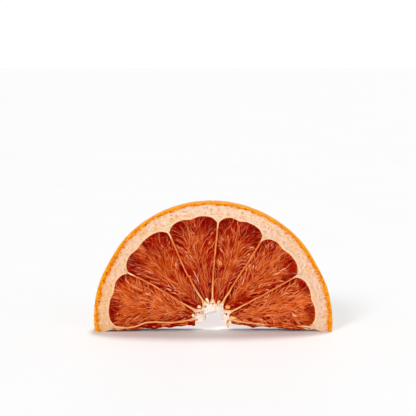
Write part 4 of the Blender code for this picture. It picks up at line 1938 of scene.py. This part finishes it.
@dataclass
class Core:
    """Spongy pith round the gap at the fruit's axis, torn at its inner side."""

    finish: CoreFinish = field(default_factory=CoreFinish)
    gap: tuple[tuple[float, float], ...] = (
        (6.2, 2.4), (4.8, 2.5), (3.4, 3.6), (3.3, 5.6), (2.9, 7.4), (3.3, 9.6), (3.0, 10.5),
        (2.0, 9.4), (1.0, 7.8), (-0.6, 7.0), (-2.6, 7.3), (-3.3, 6.2), (-3.1, 4.5), (-4.4, 3.0),
        (-6.9, 2.6),
    )
    lumps: tuple[tuple[float, float, float, float], ...] = (
        (-0.9, 9.0, 2.9, 1.7), (-5.3, 4.6, 2.3, 2.1), (4.3, 4.4, 1.8, 1.9), (3.7, 7.9, 0.9, 1.5),
    )
    recesses: tuple[tuple[float, float, float, float], ...] = (
        (-4.6, 7.7, 1.5, 1.5), (4.9, 7.2, 0.9, 0.8), (-6.9, 7.6, 1.2, 0.5),
    )
    hollows: tuple[tuple[float, float, float], ...] = (
        (-5.8, 7.7, 0.5), (-3.3, 10.1, 0.6), (-0.25, 11.2, 0.5), (5.3, 7.0, 0.5),
    )
    stains: tuple[tuple[float, float, float, float], ...] = (
        (5.8, 4.3, 0.7, 0.6), (-6.8, 4.8, 1.1, 0.5), (5.6, 3.4, 0.6, 0.8),
    )
    low_sink: float = 0.5 * MM
    lump_rise: float = 0.4 * MM
    recess_sink: float = 0.4 * MM
    overlap: float = 0.25 * MM
    least_width: float = 0.5 * MM
    lowest: float = 2.2 * MM
    along: int = 230
    across: int = 56
    deep: int = 40
    grain: Grain = Grain(21)

    def outer_radius(self, angle: Array) -> Array:
        """Gives the radius out to which the core reaches under the segments' skins.

        Args:
            angle: Angles in degrees.

        Returns:
            The radii.
        """
        radius = np.full(len(angle), 8.4 * MM)
        for pocket in POCKETS:
            walls = (pocket.low_wall, pocket.high_wall)
            low, high = (float(wall.angle(np.array(8.0 * MM))) for wall in walls)
            inside = (angle >= low) & (angle <= high)
            across = (angle[inside] - low) / (high - low)
            radius[inside] = pocket.ends(across, 0.0)[0] + self.overlap
        return radius

    def nearness(
        self, points: Array, spots: Sequence[tuple[float, float, float, float]], soft: float, waves: Array
    ) -> Array:
        """Gives how near the points lie to some oval spots.

        Args:
            points: The points.
            spots: Place, half width and half height of each spot in millimetres.
            soft: Share of a spot over which it fades.
            waves: Irregularity of the spots' edges.

        Returns:
            Values from 0 outside the spots to 1 inside them.
        """
        nearest = np.zeros(len(points))
        for x, z, wide, tall in spots:
            away = np.hypot((points[:, 0] / MM - x) / wide, (points[:, 2] / MM - z) / tall) + waves
            nearest = np.maximum(nearest, 1.0 - smooth_step(1.0 - soft, 1.0, away))
        return nearest

    def pits(self, points: Array, swells: Array) -> Array:
        """Gives the depth of the three-sided hollows between the segments' tips.

        Args:
            points: The points.
            swells: Irregularity of the hollows' edges.

        Returns:
            Values from 0 outside the hollows to 1 inside them.
        """
        shaded_pit = np.zeros(len(points))
        turns = np.radians((90.0, 210.0, 330.0))
        for x, z, size in self.hollows:
            right, up = points[:, 0] - x * MM, points[:, 2] - z * MM
            away = np.max([right * np.cos(turn) + up * np.sin(turn) for turn in turns], axis=0)
            away = away + 0.12 * MM * swells
            shaded_pit = np.maximum(shaded_pit, 1.0 - smooth_step(0.2 * size * MM, size * MM, away))
        return shaded_pit

    def place(self, unit: Array) -> Placed:
        """Draws the unit block out to the core.

        Args:
            unit: Shares round the gap, from the gap outwards, and through the slice.

        Returns:
            The points and their values.
        """
        around, outwards, through = unit.T
        gap = np.array(self.gap) * MM
        gap[:, 1] -= PLAN.axis_height
        gap_angle = np.degrees(np.unwrap(np.arctan2(gap[:, 1], gap[:, 0])))
        angle = gap_angle[0] + (gap_angle[-1] - gap_angle[0]) * around
        side = 2.0 * through - 1.0
        spot = np.column_stack((np.radians(angle) * 5.0 * MM, side * PLAN.thickness / 2))
        near = np.interp(angle, gap_angle, np.hypot(gap[:, 0], gap[:, 1]))
        near = near + 0.55 * MM * self.grain.rough(spot, 1.4 * MM)
        far = np.maximum(self.outer_radius(angle), near + self.least_width)
        radius = near + (far - near) * outwards
        points = PLAN.point(radius, angle, side * PLAN.thickness / 2)
        flat = np.column_stack((points[:, 0], points[:, 2], 50.0 * np.sign(side) * MM))
        swells = self.grain.rough(flat, 1.5 * MM, 3)
        pores = self.grain.rough(flat + 5.0 * MM, 0.6 * MM, 2)
        torn = (1.0 - smooth_step(0.0, 0.9 * MM, radius - near)) ** 2
        shaded_pit = self.pits(points, swells)
        lump = self.nearness(points, self.lumps, 0.4, 0.25 * swells)
        # Recesses, sunk and painted as shade.
        shaded_recess = self.nearness(points, self.recesses, 0.8, 0.4 * swells)
        stain = self.nearness(points, self.stains, 0.6, 0.3 * swells)
        sunk = self.low_sink - self.lump_rise * lump + self.recess_sink * shaded_recess
        sunk = sunk + 0.16 * MM * (1.0 + swells) + 0.12 * MM * (1.0 + pores)
        sunk = sunk + 0.9 * MM * torn + 0.3 * MM * shaded_pit + 0.2 * MM * stain
        points[:, 1] = side * (PLAN.thickness / 2 - sunk)
        points[:, 2] = np.maximum(points[:, 2], self.lowest + 0.3 * MM * pores)
        pore = np.clip(0.35 - 0.9 * pores - 0.4 * swells - 0.25 * lump, 0.0, 1.0)
        # The sunken ground, painted as shade: the recesses and the ground between the lumps.
        ground = np.clip(shaded_recess + 0.25 * (1.0 - lump) * smooth_step(0.0, 0.5, -swells), 0.0, 1.0)
        return points, {"sponge": rows(pore, shaded_pit, ground), "stain": rows(stain)}

    def build(self) -> None:
        """Builds the core."""
        shape = unit_block(self.along, self.across, self.deep)
        finished_piece("core", shape, self.place, self.finish.material())


@dataclass(frozen=True)
class SeedPlace:
    """Where an aborted seed lies on a face, its length, width, tilt in degrees and tint."""

    x: float
    z: float
    length: float
    width: float
    tilt: float
    face: Face = Face.FRONT
    tint: float = 0.0
    name: str = "seed"


@dataclass
class Seeds:
    """Small empty seeds at the segments' tips, and the stub of a fibre below the core."""

    finish: SeedFinish = field(default_factory=SeedFinish)
    burial: float = 0.98 * MM
    places: tuple[SeedPlace, ...] = (
        SeedPlace(-8.0, 6.4, 1.7, 1.35, -40.0),
        SeedPlace(-5.6, 10.0, 1.9, 1.35, -15.0),
        SeedPlace(-2.4, 12.5, 2.8, 1.25, -64.0),
        SeedPlace(1.95, 11.9, 2.6, 1.1, 56.0, tint=0.15),
        SeedPlace(5.8, 9.9, 2.1, 1.8, 10.0, tint=1.0),
        SeedPlace(7.9, 5.55, 3.4, 1.3, -6.0, tint=0.45),
        SeedPlace(5.6, 2.7, 3.0, 0.95, -80.0, tint=0.35, name="fibre"),
        SeedPlace(-7.9, 6.0, 2.2, 1.1, 8.0, Face.BACK),
        SeedPlace(-5.3, 10.3, 1.5, 1.2, 40.0, Face.BACK, 0.8),
        SeedPlace(0.6, 12.2, 2.4, 1.1, 80.0, Face.BACK, 0.2),
        SeedPlace(6.2, 9.4, 2.0, 1.2, -50.0, Face.BACK, 0.4),
    )

    def build(self) -> None:
        """Builds the seeds and the fibre."""
        material = self.finish.material()
        for number, spot in enumerate(self.places):
            shape = bmesh.new()
            bmesh.ops.create_uvsphere(shape, u_segments=36, v_segments=24, radius=1.0)
            name = f"{spot.name}_{number}"
            finished_piece(name, shape, lambda unit, s=spot, n=number: self.place(unit, s, n), material)

    def place(self, unit: Array, spot: SeedPlace, number: int) -> Placed:
        """Draws the unit sphere out to a seed.

        Args:
            unit: Points of the sphere.
            spot: Where the seed lies.
            number: The seed's number, which varies its dents.

        Returns:
            The points and their values.
        """
        grain = Grain(500 + number)
        along, high, over = unit[:, 2], unit[:, 0], unit[:, 1]
        dents = 1.0 + 0.16 * grain.rough(unit * (1.6, 1.6, 0.7), 1.0)
        slim = np.sqrt(np.clip(1.0 - 0.35 * along, 0.2, None)) * dents
        length = 0.5 * spot.length * MM * along
        wide = 0.5 * spot.width * MM * high * slim
        turn = math.radians(spot.tilt)
        x = spot.x * MM + length * math.cos(turn) - wide * math.sin(turn)
        z = spot.z * MM + length * math.sin(turn) + wide * math.cos(turn)
        depth = spot.face.value * (PLAN.thickness / 2 - self.burial) + 0.5 * spot.width * MM * over * slim
        values = rows(0.5 + 0.5 * along, spot.tint, grain.rough(unit, 0.5))
        return np.column_stack((x, depth, z)), {"seed": values}


@dataclass
class Studio:
    """Plain floor, soft light and the camera of the photograph."""

    distance: float = 0.6
    elevation: float = 5.5
    aim: Vector = field(default_factory=lambda: Vector((-2.2 * MM, -4.3 * MM, 50.05 * MM)))
    view_width: float = 166.05 * MM
    floor_size: float = 60.0

    def build(self) -> None:
        """Builds the floor, the lights and the camera."""
        self.build_floor()
        self.build_world()
        self.add_light("key", (-0.5, -1.0, 0.6), 14.0, 1.3)
        self.add_light("fill", (0.8, -0.7, 0.35), 50.0, 0.3)
        self.add_light("top", (0.12, 0.35, 1.0), 18.0, 1.75)
        self.build_camera()
        bpy.context.scene.view_settings.view_transform = "Standard"

    def build_floor(self) -> None:
        """Builds a wide pale floor."""
        shape = bmesh.new()
        bmesh.ops.create_grid(shape, x_segments=2, y_segments=2, size=self.floor_size / 2)
        mesh = bpy.data.meshes.new("floor")
        shape.to_mesh(mesh)
        shape.free()
        material, graph, shader = new_material("floor")
        cloud = graph.noise(graph.place(), 6.0, 3.0, 0.55)
        tone = graph.mix(cloud, (0.9, 0.9, 0.9), (0.93, 0.93, 0.93))
        graph.feed_all(shader, Base_Color=tone, Roughness=0.6)
        mesh.materials.append(material)
        floor = bpy.data.objects.new("floor", mesh)
        bpy.context.scene.collection.objects.link(floor)

    def build_world(self) -> None:
        """Fills the room with white light, brightest from its walls."""
        world = bpy.data.worlds.new("room")
        world.use_nodes = True
        graph = Graph(world.node_tree)
        rise = graph.split(graph.node("TexCoord").outputs["Generated"])[2]
        walls, ceiling = (1.02, 1.02, 1.02), (0.3, 0.3, 0.3)
        light = graph.mix(graph.ramp(rise, 0.10, 0.45), walls, ceiling)
        graph.feed_all(world.node_tree.nodes["Background"], Color=light)
        bpy.context.scene.world = world

    def add_light(self, name: str, towards: tuple[float, float, float], spread: float, power: float) -> None:
        """Adds a large far softbox that shines at the slice.

        Args:
            name: Name of the light.
            towards: Direction in which it stands.
            spread: Its width as an angle in degrees.
            power: Its strength.
        """
        light = bpy.data.lights.new(name, "SUN")
        light.angle = math.radians(spread)
        light.energy = power
        lamp = bpy.data.objects.new(name, light)
        bpy.context.scene.collection.objects.link(lamp)
        lamp.location = towards
        lamp.rotation_euler = Vector(towards).to_track_quat("Z", "Y").to_euler()

    def build_camera(self) -> None:
        """Sets the camera as the photograph has it."""
        camera = bpy.data.cameras.new("camera")
        camera.sensor_width = 36.0
        camera.lens = camera.sensor_width * self.distance / self.view_width
        camera.clip_start = 0.01
        stand = bpy.data.objects.new("camera", camera)
        bpy.context.scene.collection.objects.link(stand)
        turn = math.radians(self.elevation)
        stand.location = self.aim + self.distance * Vector((0.0, -math.cos(turn), math.sin(turn)))
        stand.rotation_euler = (self.aim - stand.location).to_track_quat("-Z", "Y").to_euler()
        bpy.context.scene.camera = stand


def main() -> None:
    """Builds the slice from the rind inwards, then the studio."""
    logging.basicConfig(level=logging.INFO, format="%(name)s: %(message)s")
    Rind().build()
    flesh = FleshFinish().material()
    membrane = MembraneFinish().material()
    for pocket, look in zip(POCKETS, LOOKS):
        Segment(pocket, look, flesh).build()
        Lining(pocket, membrane).build()
    for number in range(1, len(PLAN.walls) - 1):
        Partition(number, membrane).build()
    for hand in Hand:
        LowerStrip(hand, flesh, membrane).build()
    Core().build()
    Seeds().build()
    Studio().build()


if __name__ == "__main__":
    main()
